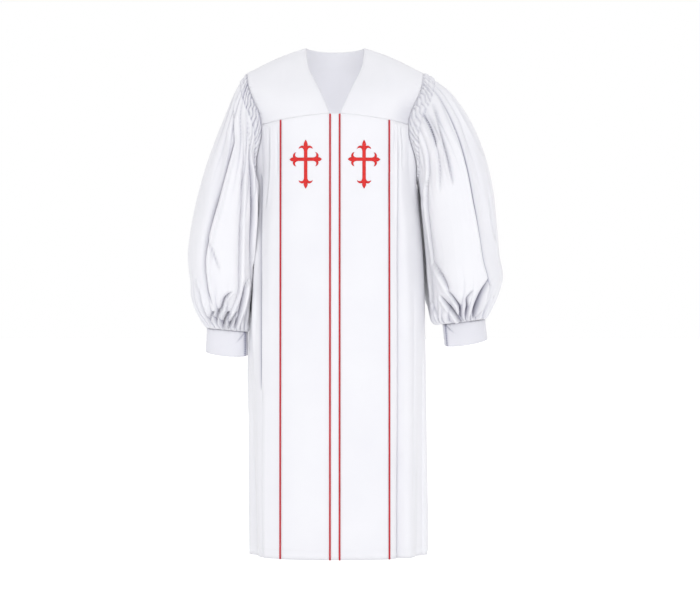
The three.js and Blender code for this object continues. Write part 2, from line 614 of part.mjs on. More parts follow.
function cuff(side) {
  const start = SLEEVES[sideName(side)].at(-1);
  const end = CUFF_ENDS[sideName(side)];
  const axis = ringAxis(side, start.at);
  const grid = steps(3).map((down) =>
    steps(CUFF_COLUMNS)
      .slice(0, -1)
      .map((turn) => {
        const size = (column) => mix(start[column], end[column], down);
        const angle = turn * 2 * Math.PI;
        const share = (Math.cos(angle) + 1) / 2;
        const deep = Math.sin(angle) * size(Math.sin(angle) > 0 ? "front" : "back");
        const x = side * mix(size("inX"), size("outX"), share);
        const z = mix(size("inZ"), size("outZ"), share) - end.dip * down * Math.sin(angle);
        return vector(x, -deep, z).addScaledVector(axis, SEAM);
      }),
  );
  const edge = (i, j, normal) => (i === 0 ? acrossRing(normal, axis) : normal);
  return wall(grid, { thick: CUFF_CLOTH, closed: true, facing: -side, edge });
}

// ---- Trims ----

// A piping: a flat-bottomed cord with a rounded top, along a seam from the yoke to the hem.
function piping(side, distance) {
  const profile = [
    [-1, 0],
    [-1, 0.55],
    [-0.45, 1],
    [0.45, 1],
    [1, 0.55],
    [1, 0],
  ];
  const rings = PANEL_ROWS.map((down) => {
    const place = frontPoint(side, distance, down);
    const angle = lineAngle(side, distance, 1, place.z);
    const out = bodyNormal(angle, place.z);
    const across = vector(0, 0, 1).cross(out).normalize();
    return profile.map(([w, h]) =>
      place
        .clone()
        .addScaledVector(across, w * PIPING.halfWidth)
        .addScaledVector(out, LAY + h * PIPING.high),
    );
  });
  const columns = profile.length;
  const positions = rings.flat().flatMap((p) => p.toArray());
  const index = [];
  for (let i = 0; i < rings.length - 1; i += 1) {
    for (let j = 0; j < columns; j += 1) {
      const a = i * columns + j;
      const b = i * columns + ((j + 1) % columns);
      index.push(a, b + columns, b, a, a + columns, b + columns);
    }
  }
  const last = (rings.length - 1) * columns;
  for (let j = 1; j < columns - 1; j += 1) {
    index.push(0, j, j + 1, last, last + j + 1, last + j);
  }
  return new THREE.BufferGeometry()
    .setAttribute("position", new THREE.Float32BufferAttribute(positions, 3))
    .setIndex(index);
}

// The outline of a cross as a closed list of flat points, arm by arm.
function crossOutline() {
  const { halfBar } = CROSS;
  const shape = new THREE.Shape();
  CROSS_ARMS.forEach(({ long, bud }, arm) => {
    const angle = (-arm * Math.PI) / 2;
    const leaf = long - bud;
    // far: along the arm from the middle. aside: across it.
    const at = (far, aside) => [
      far * -Math.sin(angle) + aside * Math.cos(angle),
      far * Math.cos(angle) + aside * Math.sin(angle),
    ];
    const curve = (through, to) => shape.quadraticCurveTo(...at(...through), ...at(...to));
    const line = (far, aside) => shape.lineTo(...at(far, aside));
    const stops = [];
    for (let far = halfBar + 13; far < leaf - 17; far += 15) stops.push(far);
    if (arm === 0) shape.moveTo(...at(halfBar, -halfBar));
    else line(halfBar, -halfBar);
    stops.forEach((far) => line(far, -halfBar));
    line(leaf - 14, -halfBar);
    curve([leaf - 7, -halfBar - 1], [leaf - 6, -10]);
    curve([leaf - 5.5, -15], [leaf - 9, -18.5]);
    curve([leaf - 2, -18], [leaf, -11]);
    curve([leaf + 1, -6], [leaf - 2, -halfBar]);
    curve([leaf + 0.3 * bud, -7.5], [long, 0]);
    curve([leaf + 0.3 * bud, 7.5], [leaf - 2, halfBar]);
    curve([leaf + 1, 6], [leaf, 11]);
    curve([leaf - 2, 18], [leaf - 9, 18.5]);
    curve([leaf - 5.5, 15], [leaf - 6, 10]);
    curve([leaf - 7, halfBar + 1], [leaf - 14, halfBar]);
    stops.reverse().forEach((far) => line(far, halfBar));
  });
  shape.closePath();
  return shape.getPoints(3).reverse();
}

// The longest edge inside a flat outline's triangles, or null where none is longer than the limit.
// rim: how many of the points lie on the outline, in order.
function longestInside(points, triangles, rim, limit) {
  const onRim = (p, q) => Math.max(p, q) < rim && [1, rim - 1].includes(Math.abs(p - q));
  const length = ([p, q]) => points[p].distanceTo(points[q]);
  let longest = null;
  for (const [a, b, c] of triangles) {
    for (const edge of [[a, b], [b, c], [c, a]]) {
      const least = longest ? length(longest) : limit;
      if (!onRim(...edge) && length(edge) > least) longest = edge;
    }
  }
  return longest;
}

// Splits a triangle in two at the middle of an edge, if the edge is one of its own.
function splitAt(triangle, [p, q], middle) {
  if (!triangle.includes(p) || !triangle.includes(q)) return [triangle];
  return [p, q].map((corner) => triangle.map((c) => (c === corner ? middle : c)));
}

// A cross, laid on a front panel: flat triangles, split until none is long, and moved out from the panel.
function cross(side) {
  const outline = crossOutline();
  if (outline[0].distanceTo(outline[outline.length - 1]) < 0.01) outline.pop();
  const points = [...outline];
  let triangles = THREE.ShapeUtils.triangulateShape(outline, []);
  const longest = () => longestInside(points, triangles, outline.length, CROSS.longestEdge);
  for (let edge = longest(); edge; edge = longest()) {
    const [p, q] = edge.map((corner) => points[corner]);
    const middle = points.push(p.clone().add(q).multiplyScalar(0.5)) - 1;
    triangles = triangles.flatMap((triangle) => splitAt(triangle, edge, middle));
  }
  const place = (flat, height) => {
    const z = CROSS.z + flat.y;
    const angle = lineAngle(side, CROSS.x + side * flat.x, 1, z);
    const out = bodyNormal(angle, z);
    return bodyPoint(angle, z).addScaledVector(out, fluting(angle, z, V_BOTTOM_Z) + height);
  };
  const under = points.map((p) => place(p, LAY).toArray());
  const over = points.map((p) => place(p, LAY + CROSS.thick).toArray());
  const count = points.length;
  const index = triangles.flatMap(([a, b, c]) => [a, c, b, a + count, b + count, c + count]);
  outline.forEach((_, i) => {
    const next = (i + 1) % outline.length;
    index.push(i, next, next + count, i, next + count, i + count);
  });
  return new THREE.BufferGeometry()
    .setAttribute("position", new THREE.Float32BufferAttribute([...under, ...over].flat(), 3))
    .setIndex(index);
}

// ---- The robe ----

const satin = new THREE.MeshStandardMaterial({ color: 0xf1f1f6, roughness: 0.45, metalness: 0 });
const braid = new THREE.MeshStandardMaterial({ color: 0xcf2b33, roughness: 0.5, metalness: 0 });
const thread = new THREE.MeshStandardMaterial({ color: 0xe0302f, roughness: 0.4, metalness: 0 });

const robe = new THREE.Group();

function add(name, geometry, material) {
  geometry.computeVertexNormals();
  const mesh = new THREE.Mesh(geometry, material);
  mesh.name = name;
  robe.add(mesh);
}

add("yoke_back", yokeBack(), satin);
add("zip_placket", placket(), satin);
for (const side of [-1, 1]) {
  const name = sideName(side);
  add("yoke_front_" + name, yokeFront(side), satin);
  add("front_panel_" + name, frontPanel(side), satin);
  add("front_side_" + name, frontSide(side), satin);
  add("back_" + name, backHalf(side), satin);
  add("sleeve_" + name, sleeve(side), satin);
  add("cuff_" + name, cuff(side), satin);
  add("piping_inner_" + name, piping(side, PLACKET_HALF), braid);
  add("piping_outer_" + name, piping(side, PANEL_EDGE), braid);
  add("cross_" + name, cross(side), thread);
}

export default robe;
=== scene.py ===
"""Pulpit robe: white satin-faced cloth, red pipings and crosses, filled out with no wearer.

Every cloth piece is a thin shell on the form of its solid. Sizes are in millimetres until a mesh is
made. The front faces -Y, and the wearer's left arm is on +X. A sleeve's surface is given by at, the
distance down its middle line, and turn, the share of the way round: 0 outside or on top, 0.25 in
front, 0.5 inside, 0.75 behind.
"""

import bpy
import numpy as np
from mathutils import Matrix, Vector
from mathutils.geometry import delaunay_2d_cdt


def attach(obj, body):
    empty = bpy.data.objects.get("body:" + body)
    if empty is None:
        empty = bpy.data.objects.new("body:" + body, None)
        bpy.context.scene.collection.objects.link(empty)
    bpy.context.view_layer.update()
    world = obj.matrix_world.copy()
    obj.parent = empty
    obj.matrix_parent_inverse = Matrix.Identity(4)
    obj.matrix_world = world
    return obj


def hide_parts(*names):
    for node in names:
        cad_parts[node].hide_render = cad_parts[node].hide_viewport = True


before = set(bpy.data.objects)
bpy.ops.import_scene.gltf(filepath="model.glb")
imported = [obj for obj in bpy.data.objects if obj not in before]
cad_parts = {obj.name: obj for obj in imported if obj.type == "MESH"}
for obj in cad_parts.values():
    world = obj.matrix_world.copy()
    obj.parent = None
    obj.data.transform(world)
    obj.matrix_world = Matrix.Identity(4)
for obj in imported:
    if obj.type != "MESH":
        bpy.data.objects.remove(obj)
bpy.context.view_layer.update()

MM = 0.001


def table(columns, *rows):
    """Rows of numbers as named columns."""
    return {name: np.array(column, float) for name, column in zip(columns.split(), zip(*rows))}


def folds(*rows):
    """Creases as named values, from rows of depth, half width, lip, painted shade, and the places of the path.
    """
    names = ("deep", "half", "lip", "painted_shade")
    return [dict(zip(names, row), path=row[len(names):]) for row in rows]


# ---- Sizes, in millimetres ----

CLOTH = 1.0  # thickness of one layer
CUFF_CLOTH = 2.0  # a cuff is two layers
SEAM = 0.4  # gap between two pieces at a seam
LAY = 0.35  # gap under a trim that lies on a panel

HEM_Z = -1336
NECK_POINT = (77, 0, 10)
BACK_NECK = (0, 60, 6)
PLACKET_HALF = 12.5
PANEL_EDGE = 142
V_BOTTOM_Z = -177
BACK_SEAM_Z = -182
HEM_DEPTH = 24  # how far up the hem is stitched
SHOULDER_BULGE = 6
NECKLINE_PASSES = ((76, -22, -12), (70, -48, -48), (42, -92, -110))
BACK_YOKE_PASSES = ((0, 92, -36), (0, 110, -100))

SQUARENESS = 2.5  # of the body's section: 2 is an ellipse, and more is squarer
# The body at some heights: half its width on each side, and its depth in front and behind.
BODY = table(
    "z right left front back",
    (-60, 214, 214, 106, 104),
    (-202, 214, 214, 119, 118),
    (-345, 208, 214, 125, 126),
    (-450, 212, 227, 128, 131),
    (-600, 221, 237, 131, 137),
    (-800, 227, 240, 136, 145),
    (-1100, 226, 240, 144, 156),
    (-1336, 222, 240, 150, 164),
)

# Rings of the sleeves. out, in: the two ends of a ring, outside and next to the body. front, back: how far
# it reaches from the plane between them. dip: how much nearer the body it is in front and behind. lap, wrap:
# how far it laps the body in front and behind.
RING_COLUMNS = "at out_x out_z in_x in_z front back dip lap wrap"
SLEEVES = {
    -1: table(
        RING_COLUMNS,
        (0, 234, -58, 208, -345, 66, 66, 28, 0, 0),
        (26, 247, -79, 212, -351, 80, 78, 22, 3, 0),
        (60, 268, -118, 216, -362, 92, 90, 12, 8, 6),
        (110, 291, -171, 217, -385, 100, 100, 4, 23, 18),
        (180, 319, -237, 217, -420, 105, 108, 0, 28, 24),
        (260, 346, -312, 218, -462, 108, 114, 0, 29, 26),
        (345, 369, -394, 221, -510, 110, 118, 0, 27, 26),
        (430, 386, -478, 224, -560, 112, 120, 0, 26, 26),
        (500, 393, -548, 228, -605, 112, 118, 0, 28, 24),
        (565, 387, -612, 231, -648, 106, 110, 0, 27, 20),
        (620, 384, -656, 232, -684, 92, 94, 0, 19, 10),
        (665, 371, -690, 233, -714, 68, 70, 0, 8, 0),
        (698, 351, -722, 233, -736, 42, 44, 0, 0, 0),
        (716, 342, -738, 233, -748, 27, 29, 0, 0, 0),
    ),
    1: table(
        RING_COLUMNS,
        (0, 234, -58, 214, -345, 66, 66, 31, 0, 0),
        (26, 258, -72, 219, -351, 82, 80, 24, 2, 0),
        (60, 292, -99, 225, -362, 96, 94, 12, 4, 6),
        (110, 333, -147, 230, -385, 106, 106, 4, 12, 18),
        (180, 370, -208, 234, -420, 114, 116, 0, 18, 26),
        (260, 402, -290, 238, -462, 118, 122, 0, 18, 30),
        (345, 421, -372, 242, -510, 120, 126, 0, 13, 32),
        (430, 431, -460, 245, -560, 121, 128, 0, 6, 34),
        (500, 438, -541, 247, -605, 120, 126, 0, 4, 34),
        (565, 447, -600, 250, -648, 114, 118, 0, 2, 30),
        (620, 433, -650, 252, -686, 100, 102, 0, 0, 16),
        (660, 416, -683, 256, -710, 76, 78, 0, 0, 0),
        (688, 406, -702, 266, -724, 48, 50, 0, 0, 0),
        (710, 400, -714, 286, -728, 27, 29, 0, 0, 0),
    ),
}
RING_POWER = 0.92  # of a sleeve's ring: 1 is an ellipse, and less is fuller
LAP_TURN = 0.36  # where round a sleeve it laps the body in front; behind it is as far from the inside
LAP_HALF = 0.09
BODY_CLEARANCE = 1.5  # between a sleeve and the body

CUFF_ENDS = {
    -1: dict(out_x=346, out_z=-799, in_x=233, in_z=-809, front=28, back=30, dip=8),
    1: dict(out_x=406, out_z=-766, in_x=291, in_z=-783, front=28, back=30, dip=8),
}
CUFF_OVERLAP = dict(edge=0.425, step=2.2)  # the turn where a cuff's end laps over the other, and how far

# Flutes of the body: the degrees from the middle of the front at its top and at the hem, negative to the
# wearer's right, the heights between which it runs, how far it stands out, or in where negative, and its
# half width.
FLUTE_RUN = 3.3  # millimetres of cloth for each degree round the body
FLUTE_START = 70  # how far below the seam the flutes are full
FLUTE_AT_TOP = 0.12  # what share of its height a flute that runs to the hem starts with
FLUTES = (
    (-69, -68, -400, -900, 8, 10),
    (-47, -50, -215, -1336, 3, 22),
    (-70, -71, -760, -1336, -9, 22),
    (-82, -84, -760, -1336, 7, 22),
    (41, 40, -330, -1336, -11, 15),
    (49, 49, -215, -1336, 5, 18),
    (66, 65, -760, -1336, -8, 22),
    (82, 80, -760, -1336, 7, 22),
    (100, 99, -740, -1336, 12, 25),
    (120, 117, -190, -1336, 14, 25),
    (136, 134, -190, -1336, 16, 24),
    (153, 152, -190, -1336, 13, 24),
    (170, 170, -190, -1336, 15, 24),
    (-100, -101, -740, -1336, 11, 25),
    (-119, -118, -190, -1336, 15, 25),
    (-137, -136, -190, -1336, 13, 24),
    (-154, -153, -190, -1336, 16, 24),
    (-171, -170, -190, -1336, 14, 24),
)

# Creases of the body's panels: depth, half width, lip, painted shade, and a path of (height, degrees). lip:
# how high the cloth stands beside the crease, as a share of its depth, on the far side in angle where
# positive. With no lip it is a soft trough. painted shade: how much shade is painted into the crease, where
# the cloth tucks in.
BODY_CREASES = folds(
    (5, 8, 0.3, 1.8, (-330, -66), (-470, -63), (-600, -58.5), (-760, -55.5), (-900, -54.5)),
    (2.5, 4, 0.4, 0, (-206, -41), (-260, -41), (-340, -42)),
    (4, 6, 0.4, 0.15, (-212, -50), (-300, -52), (-420, -57)),
    (3, 8, 0, 0, (-820, -76), (-1290, -74)),
    (3, 9, 0.3, 0, (-880, -53), (-1336, -55)),
    (4.5, 4.5, -0.35, 0.15, (-203, 46.9), (-345, 46.7), (-450, 42.8), (-600, 40), (-1000, 39.6),
                            (-1336, 39.3)),
    (5, 6, -0.4, 0, (-206, 50), (-255, 52), (-320, 53)),
    (2.5, 3.5, 0.4, 0, (-203, 43), (-240, 43), (-280, 42.5)),
    (2.5, 8, 0, 0, (-640, 57), (-1250, 56)),
    (3, 8, 0.3, 0, (-800, 74), (-1336, 73)),
    (4, 6, 0.4, 0.25, (-200, 128), (-1120, 126)),
    (4, 7, -0.4, 0.25, (-330, 111), (-1336, 109)),
    (5, 6, 0.4, 0.25, (-200, 145), (-1336, 143)),
    (4.5, 6, -0.4, 0.25, (-196, 161), (-1240, 162)),
    (2.5, 5, 0, 0, (-196, 178), (-1000, 179)),
    (4.5, 7, 0.4, 0.25, (-330, -110), (-1250, -109)),
    (5, 6, -0.4, 0.25, (-200, -128), (-1336, -127)),
    (4, 6, 0.4, 0.25, (-198, -146), (-1180, -144)),
    (5, 6, -0.4, 0.25, (-196, -163), (-1336, -162)),
    (-12, 18, 0, 0, (-480, -106), (-700, -104), (-1000, -103)),
)

# Creases of the sleeves, in the same columns, each with a path of (at, turn). A positive lip is on the far
# side in turn.
CREASES = {
    -1: folds(
        (18, 8, 0.5, 0.75, (55, 0.09), (90, 0.165), (118, 0.205), (300, 0.21), (430, 0.197), (570, 0.198),
                           (630, 0.22)),
        (12, 22, 0, 0.06, (130, 0.15), (220, 0.17), (320, 0.185)),
        (5, 6, 0.3, 0.3, (425, 0.2), (465, 0.232), (505, 0.256)),
        (9, 6, 0.5, 0.1, (42, 0.175), (86, 0.246), (130, 0.274), (318, 0.306), (480, 0.322), (628, 0.308),
                         (708, 0.235)),
        (16, 7, 0.5, 0.9, (42, 0.22), (72, 0.292), (214, 0.34), (364, 0.378), (538, 0.42), (680, 0.414)),
        (10, 8, 0.3, 0, (200, 0.39), (360, 0.43), (520, 0.45), (640, 0.45)),
        (10, 5, 0.6, 0.3, (555, 0.12), (610, 0.156), (674, 0.154), (704, 0.126)),
        (8, 4, 0.5, 0.5, (655, 0.225), (690, 0.16)),
        (12, 5, 0.6, 0.4, (572, 0.296), (598, 0.274), (646, 0.254), (708, 0.186)),
        (12, 4, 0.6, 0.4, (650, 0.3), (713, 0.224)),
        (10, 4, 0.6, 0.3, (648, 0.335), (686, 0.298), (713, 0.256)),
        (16, 5, 0.6, 0.5, (512, 0.378), (550, 0.35), (664, 0.342), (713, 0.31)),
        (18, 8, -0.5, 0.5, (50, 0.95), (120, 0.88), (300, 0.845), (480, 0.85), (650, 0.865)),
        (12, 7, -0.4, 0.4, (45, 0.84), (130, 0.77), (260, 0.745), (420, 0.74), (560, 0.755)),
        (16, 8, -0.5, 0.5, (45, 0.72), (150, 0.655), (330, 0.625), (500, 0.61), (660, 0.6)),
        (8, 8, 0, 0.3, (180, 0.57), (340, 0.555), (520, 0.55)),
        (12, 5, 0.6, 0.5, (560, 0.9), (640, 0.868), (706, 0.885)),
        (14, 5, 0.5, 0.5, (585, 0.8), (650, 0.79), (710, 0.765)),
        (12, 5, -0.5, 0.5, (570, 0.675), (640, 0.7), (708, 0.69)),
        (8, 4, 0.5, 0.3, (620, 0.62), (670, 0.64), (708, 0.63)),
    ),
    1: folds(
        (7, 6.5, 0.4, 1, (30, 0.11), (76, 0.146), (124, 0.168), (222, 0.187), (330, 0.194), (452, 0.178),
                         (600, 0.157)),
        (10, 20, 0, 0, (130, 0.13), (260, 0.155), (420, 0.15), (560, 0.13)),
        (2, 38, 0, 0.07, (150, 0.11), (300, 0.12), (450, 0.11), (620, 0.1)),
        (10, 5, 0.5, 0.25, (40, 0.165), (78, 0.212), (114, 0.236), (170, 0.25), (235, 0.255)),
        (6, 6, 0.4, 0.2, (80, 0.25), (158, 0.284), (215, 0.302)),
        (12, 7, 0.5, 0.9, (28, 0.205), (48, 0.224), (70, 0.242), (94, 0.256)),
        (10, 6, 0.4, 0.5, (36, 0.018), (96, 0.085), (182, 0.09), (246, 0.062)),
        (9, 6, 0.4, 0.6, (285, 0.076), (395, 0.074), (560, 0.062)),
        (7, 6, 0.4, 0.2, (360, 0.1), (428, 0.098), (500, 0.06)),
        (10, 9, 0.3, 0.3, (70, 0.3), (180, 0.365), (330, 0.4), (470, 0.41)),
        (12, 8, 0.3, 0, (150, 0.42), (300, 0.45), (460, 0.455), (600, 0.45)),
        (12, 7, 0.4, 0.5, (450, 0.402), (506, 0.362), (570, 0.33)),
        (14, 5.5, 0.5, 0.6, (580, 0.375), (618, 0.336), (670, 0.276), (706, 0.262)),
        (10, 4.5, 0.5, 0.6, (565, 0.34), (600, 0.304), (642, 0.268), (706, 0.25)),
        (10, 6, -0.4, 0.5, (585, 0.232), (610, 0.248), (640, 0.238), (690, 0.226)),
        (18, 5, -0.6, 1, (562, 0.162), (598, 0.184), (640, 0.19), (698, 0.184)),
        (14, 4.5, 0.5, 0.6, (582, 0.147), (616, 0.157), (660, 0.157)),
        (12, 5, 0.5, 0.5, (620, 0.1), (660, 0.092), (704, 0.11)),
        (12, 6, 0, 0.2, (658, 0.145), (698, 0.172)),
        (8, 5, 0.4, 0.3, (596, 0.44), (655, 0.4)),
        (18, 8, -0.5, 0.5, (40, 0.92), (110, 0.875), (300, 0.875), (470, 0.87), (640, 0.855)),
        (14, 7, -0.4, 0.4, (44, 0.83), (140, 0.77), (280, 0.745), (450, 0.74), (600, 0.74)),
        (16, 8, -0.5, 0.5, (50, 0.71), (160, 0.64), (330, 0.605), (520, 0.61), (640, 0.62)),
        (12, 5, 0.6, 0.5, (550, 0.92), (630, 0.88), (702, 0.895)),
        (16, 5, 0.5, 0.5, (575, 0.81), (645, 0.79), (704, 0.8)),
        (14, 5, -0.5, 0.5, (565, 0.69), (640, 0.705), (702, 0.69)),
        (10, 4, 0.5, 0.3, (610, 0.61), (665, 0.63), (702, 0.62)),
    ),
}

# The shirred band round a sleeve's head, and the gathers that leave it and that enter the cuff.
# rows, grooves: where the sewn rows are, and how deep. slant: how much the puckers lean for each millimetre.
# sunk: the share of a height that lies below the plain sleeve. reach: how uneven the gathers' lengths are.
# heights: how high the gathers stand at distances away from their end of the sleeve.
SHIRRING = dict(
    rows=(3, 17, 33), grooves=(3.2, 1.6, 3.2), half=2.2, puckers=54, high=5.2, sunk=0.3, slant=0.001
)
HEAD_GATHERS = dict(
    count=27, sunk=0.35, reach=0.45,
    heights=table("away high", (0, 0.5), (34, 2), (52, 6), (100, 5), (190, 2), (320, 0), (800, 0)),
)
CUFF_GATHERS = dict(
    count=25, sunk=0.4, reach=0.5,
    heights=table("away high", (0, 2.5), (10, 6), (32, 8), (70, 4.5), (130, 1), (190, 0), (800, 0)),
)
HEAD_LEAN = {-1: 0.10, 1: 0.08}  # how far round the gathers at the head turn as they fall
LEAN_RUN = 45  # the length over which they do
HEAD_PAINTED_SHADE = {-1: 0.10, 1: 0.04}  # how much shade is painted into the valleys of the gathers at the head
CUFF_GATHER_PAINTED_SHADE = 0.09  # the same painted shade at the cuff
BAND_PAINTED_SHADE = {-1: 0.70, 1: 0.36}  # how much shade is painted into the valleys of the shirred band
GROOVE_PAINTED_SHADE = 0.15  # how much shade is painted into its sewn rows, for each millimetre of their depth
YOKE_PAINTED_SHADE = {-1: 0.02, 1: 0.22}  # how much shade is painted on a front yoke at its lower outer corner
LEVEL_RUN = dict(head=26, cuff=20)  # over what length the folds leave the plane of a sleeve's end
FREE_RUN = 12  # over what length from its head a sleeve comes clear of the body

PIPING_HALF = 2.3
PIPING_HIGH = 2.0
# Crosses. The arms go round from the right. long: from the middle to the tip. bud: from the leaves to it.
CROSS = dict(x=76, z=-296, half_bar=4.6, thick=1.3)
CROSS_ARMS = (
    dict(long=42.5, bud=9),
    dict(long=51.5, bud=16),
    dict(long=42.5, bud=9),
    dict(long=77, bud=14),
)

# A crease's section: how far its steep side under the lip and its soft side reach, in half widths, its
# sharp bottom, and its painted shade: a dark line in it, and a softer painted shade beside the line.
CREASE_STEEP = 0.4
CREASE_SOFT = 1.5
CREASE_CORE = dict(half=2.0, deep=0.6)
CREASE_SHADE_LINE = 2.4
CREASE_SHADE_BESIDE = dict(half=9.6, dark=0.3)
CREASE_START = 8  # how far below the yoke's seam the body's creases are full
PAINTED_CREASE_SHADE_COLOUR = (0.27, 0.27, 0.37, 1)  # the colour of the shade painted deepest in a crease

# Rows and columns of the pieces' grids of points.
YOKE_FRONT_GRID = (91, 81)
YOKE_BACK_GRID = (81, 81)
PANEL_ROWS = 131
PLACKET_COLUMNS = 11
FRONT_PANEL_COLUMNS = 41
FRONT_SIDE_COLUMNS = 141
BACK_COLUMNS = 131
SLEEVE_GRID = (110, 440)
CUFF_GRID = (27, 240)
PIPING_GRID = (201, 9)
FRONT_FINER = 0.4  # how much closer a sleeve's columns stand in front than at its sides

SIDE_NAMES = {-1: "right", 1: "left"}


# ---- Numbers and vectors ----


def vector(x, y, z):
    """Arrays of points from three coordinates of any like shapes."""
    return np.stack(np.broadcast_arrays(x, y, z), -1).astype(float)


def unit(v):
    return v / np.maximum(np.linalg.norm(v, axis=-1, keepdims=True), 1e-9)


def mix(a, b, share):
    return a + (b - a) * share


def ease(share):
    share = np.clip(share, 0, 1)
    return share * share * (3 - 2 * share)


def bell(away, half):
    return np.exp(-((away / half) ** 2))


def signed_power(value, power):
    return np.sign(value) * np.abs(value) ** power


def hermite(t, start, rise, slope_in, slope_out):
    """A smooth curve from start over a rise, with the slopes that it has at its two ends."""
    return start + t * t * (3 - 2 * t) * rise + t * (1 - t) ** 2 * slope_in + t * t * (t - 1) * slope_out


def read(rows, key, column, at):
    """One column of a table at any value of its key, on a smooth curve through the rows."""
    keys, values = rows[key], rows[column]
    if keys[0] > keys[-1]:
        keys, values = keys[::-1], values[::-1]
    at = np.clip(at, keys[0], keys[-1])
    slopes = np.empty_like(values)
    slopes[1:-1] = (values[2:] - values[:-2]) / (keys[2:] - keys[:-2])
    slopes[0] = (values[1] - values[0]) / (keys[1] - keys[0])
    slopes[-1] = (values[-1] - values[-2]) / (keys[-1] - keys[-2])
    i = np.clip(np.searchsorted(keys, at) - 1, 0, len(keys) - 2)
    span = keys[i + 1] - keys[i]
    rise = values[i + 1] - values[i]
    return hermite((at - keys[i]) / span, values[i], rise, slopes[i] * span, slopes[i + 1] * span)


def smooth_line(points, share):
    """A centripetal Catmull-Rom curve through the points, at shares of its way."""
    points = np.array(points, float)
    points = np.vstack([2 * points[0] - points[1], points, 2 * points[-1] - points[-2]])
    place = np.clip(share, 0, 1) * (len(points) - 3)
    i = np.minimum(place.astype(int), len(points) - 4)
    steps = [points[i + k + 1] - points[i + k] for k in range(3)]
    gaps = [np.linalg.norm(step, axis=-1, keepdims=True) ** 0.5 for step in steps]

    def slope(k):
        """The curve's slope at a point between two steps, for the whole of the middle one."""
        both = (steps[k] + steps[k + 1]) / (gaps[k] + gaps[k + 1])
        return (steps[k] / gaps[k] - both + steps[k + 1] / gaps[k + 1]) * gaps[1]

    return hermite((place - i)[..., None], points[i + 1], steps[1], slope(0), slope(1))


def uneven(position, seed):
    """A smooth, uneven wave from -1 to 1 over a position in radians, the same on each run."""
    waves = ((1.0, 1.0), (2.31, 1.9), (0.43, 2.7))
    return sum(np.sin(position * rate + seed * shift) for rate, shift in waves) / len(waves)


def uneven_ring(turn, seed):
    """A smooth, uneven wave from -1 to 1 that closes on itself round a ring."""
    waves = ((2, 1.3), (5, 2.1), (7, 0.7))
    return sum(np.sin(2 * np.pi * count * turn + seed * shift) for count, shift in waves) / len(waves)


def billows(phase, sharp=0.6):
    """Round ridges with narrow valleys between them, from 0 to 1, one for each whole phase."""
    return np.abs(np.sin(np.pi * phase)) ** sharp


# ---- The body's surface ----


def half_width(side, z):
    return np.where(np.asarray(side) < 0, read(BODY, "z", "right", z), read(BODY, "z", "left", z))


def depth_to(face, z):
    return np.where(np.asarray(face) > 0, read(BODY, "z", "front", z), read(BODY, "z", "back", z))


def body_point(angle, z):
    """The plain body at an angle round from the middle of the front, positive to the wearer's left."""
    sine, cosine = np.sin(angle), np.cos(angle)
    power = 2 / SQUARENESS
    x = half_width(sine, z) * signed_power(sine, power)
    y = -depth_to(cosine, z) * signed_power(cosine, power)
    return vector(x, y, z)


def body_angle(side, p):
    x, y, z = np.moveaxis(p, -1, 0)
    across = np.abs(x / half_width(side, z)) ** (SQUARENESS / 2)
    deep = np.abs(y / depth_to(-y, z)) ** (SQUARENESS / 2)
    return side * np.arctan2(across, np.where(y > 0, -deep, deep))


def line_angle(side, distance, face, z):
    """The angle of the line down one side at a fixed distance from the middle of the front or back."""
    angle = np.arcsin(np.minimum(1, (distance / half_width(side, z)) ** (SQUARENESS / 2)))
    return side * (angle if face > 0 else np.pi - angle)


def body_normal(angle, z):
    p = body_point(angle, z)
    wide, deep = half_width(p[..., 0], z), depth_to(-p[..., 1], z)
    x = signed_power(p[..., 0] / wide, SQUARENESS - 1) / wide
    y = signed_power(p[..., 1] / deep, SQUARENESS - 1) / deep
    return unit(vector(x, y, 0 * x))


def fluting(angle, z, top):
    """How far the flutes move the cloth out. top: the height where the cloth is sewn on."""
    degrees = np.degrees(angle)
    out = np.zeros(np.broadcast(angle, z).shape)
    for at_top, at_hem, start, end, high, half in FLUTES:
        down = (start - z) / (start - end)
        along = mix(at_top, at_hem, ease(down))
        away = np.abs(degrees - along)
        away = np.minimum(away, 360 - away) * FLUTE_RUN
        ends_free = end > HEM_Z
        held = np.clip(down, 0, 1)
        fades = np.sin(np.pi * held) if ends_free else np.minimum(1, FLUTE_AT_TOP + held**0.8)
        out += np.where((down > 0) & (down <= 1.001), high * fades * bell(away, half), 0)
    return out * np.clip((top - z) / FLUTE_START, 0, 1)


def crease_section(away, half, lip):
    """A crease's depth as a share, across it: steep under its lip, soft on the other side, sharp between."""
    if lip == 0:
        return bell(away, half)
    towards = away * np.sign(lip)
    steep = bell(towards, CREASE_STEEP * half)
    soft = np.exp(-np.abs(towards / (CREASE_SOFT * half)) ** 1.3)
    core = CREASE_CORE["deep"] * bell(towards, CREASE_CORE["half"])
    return np.where(towards > 0, steep, soft) + core - abs(lip) * bell(towards - CREASE_SOFT * half, half)


def crease_painted_shade(away, half, lip):
    """The shade that a crease paints on the cloth: a dark line and a softer shade away from its lip, or a soft
    shade alone.
    """
    if lip == 0:
        return bell(away, half)
    towards = away * np.sign(lip)
    beside = CREASE_SHADE_BESIDE["dark"] * bell(towards, CREASE_SHADE_BESIDE["half"])
    return bell(towards, CREASE_SHADE_LINE) + beside * (towards < 0)


def body_creasing(angle, z, top):
    """How far the creases move the cloth out, less than nothing in a trough, and the shade they paint on it.
    """
    degrees = np.degrees(angle)
    out, dark = np.zeros((2, *np.broadcast(angle, z).shape))
    for fold in BODY_CREASES:
        places = table("z degrees", *fold["path"])
        start, end = places["z"][0], places["z"][-1]
        down = np.clip((start - z) / (start - end), 0, 1)
        away = degrees - read(places, "z", "degrees", z)
        away = (away - 360 * np.round(away / 360)) * FLUTE_RUN
        ends_free = end > HEM_Z
        fades = np.sqrt(np.sin(np.pi * down)) if ends_free else ease(down * 12)
        out -= fold["deep"] * fades * crease_section(away, fold["half"], fold["lip"])
        dark += fold["painted_shade"] * fades * crease_painted_shade(away, fold["half"], fold["lip"])
    return out * ease((top - z) / CREASE_START), dark


# ---- Edges that several pieces share ----


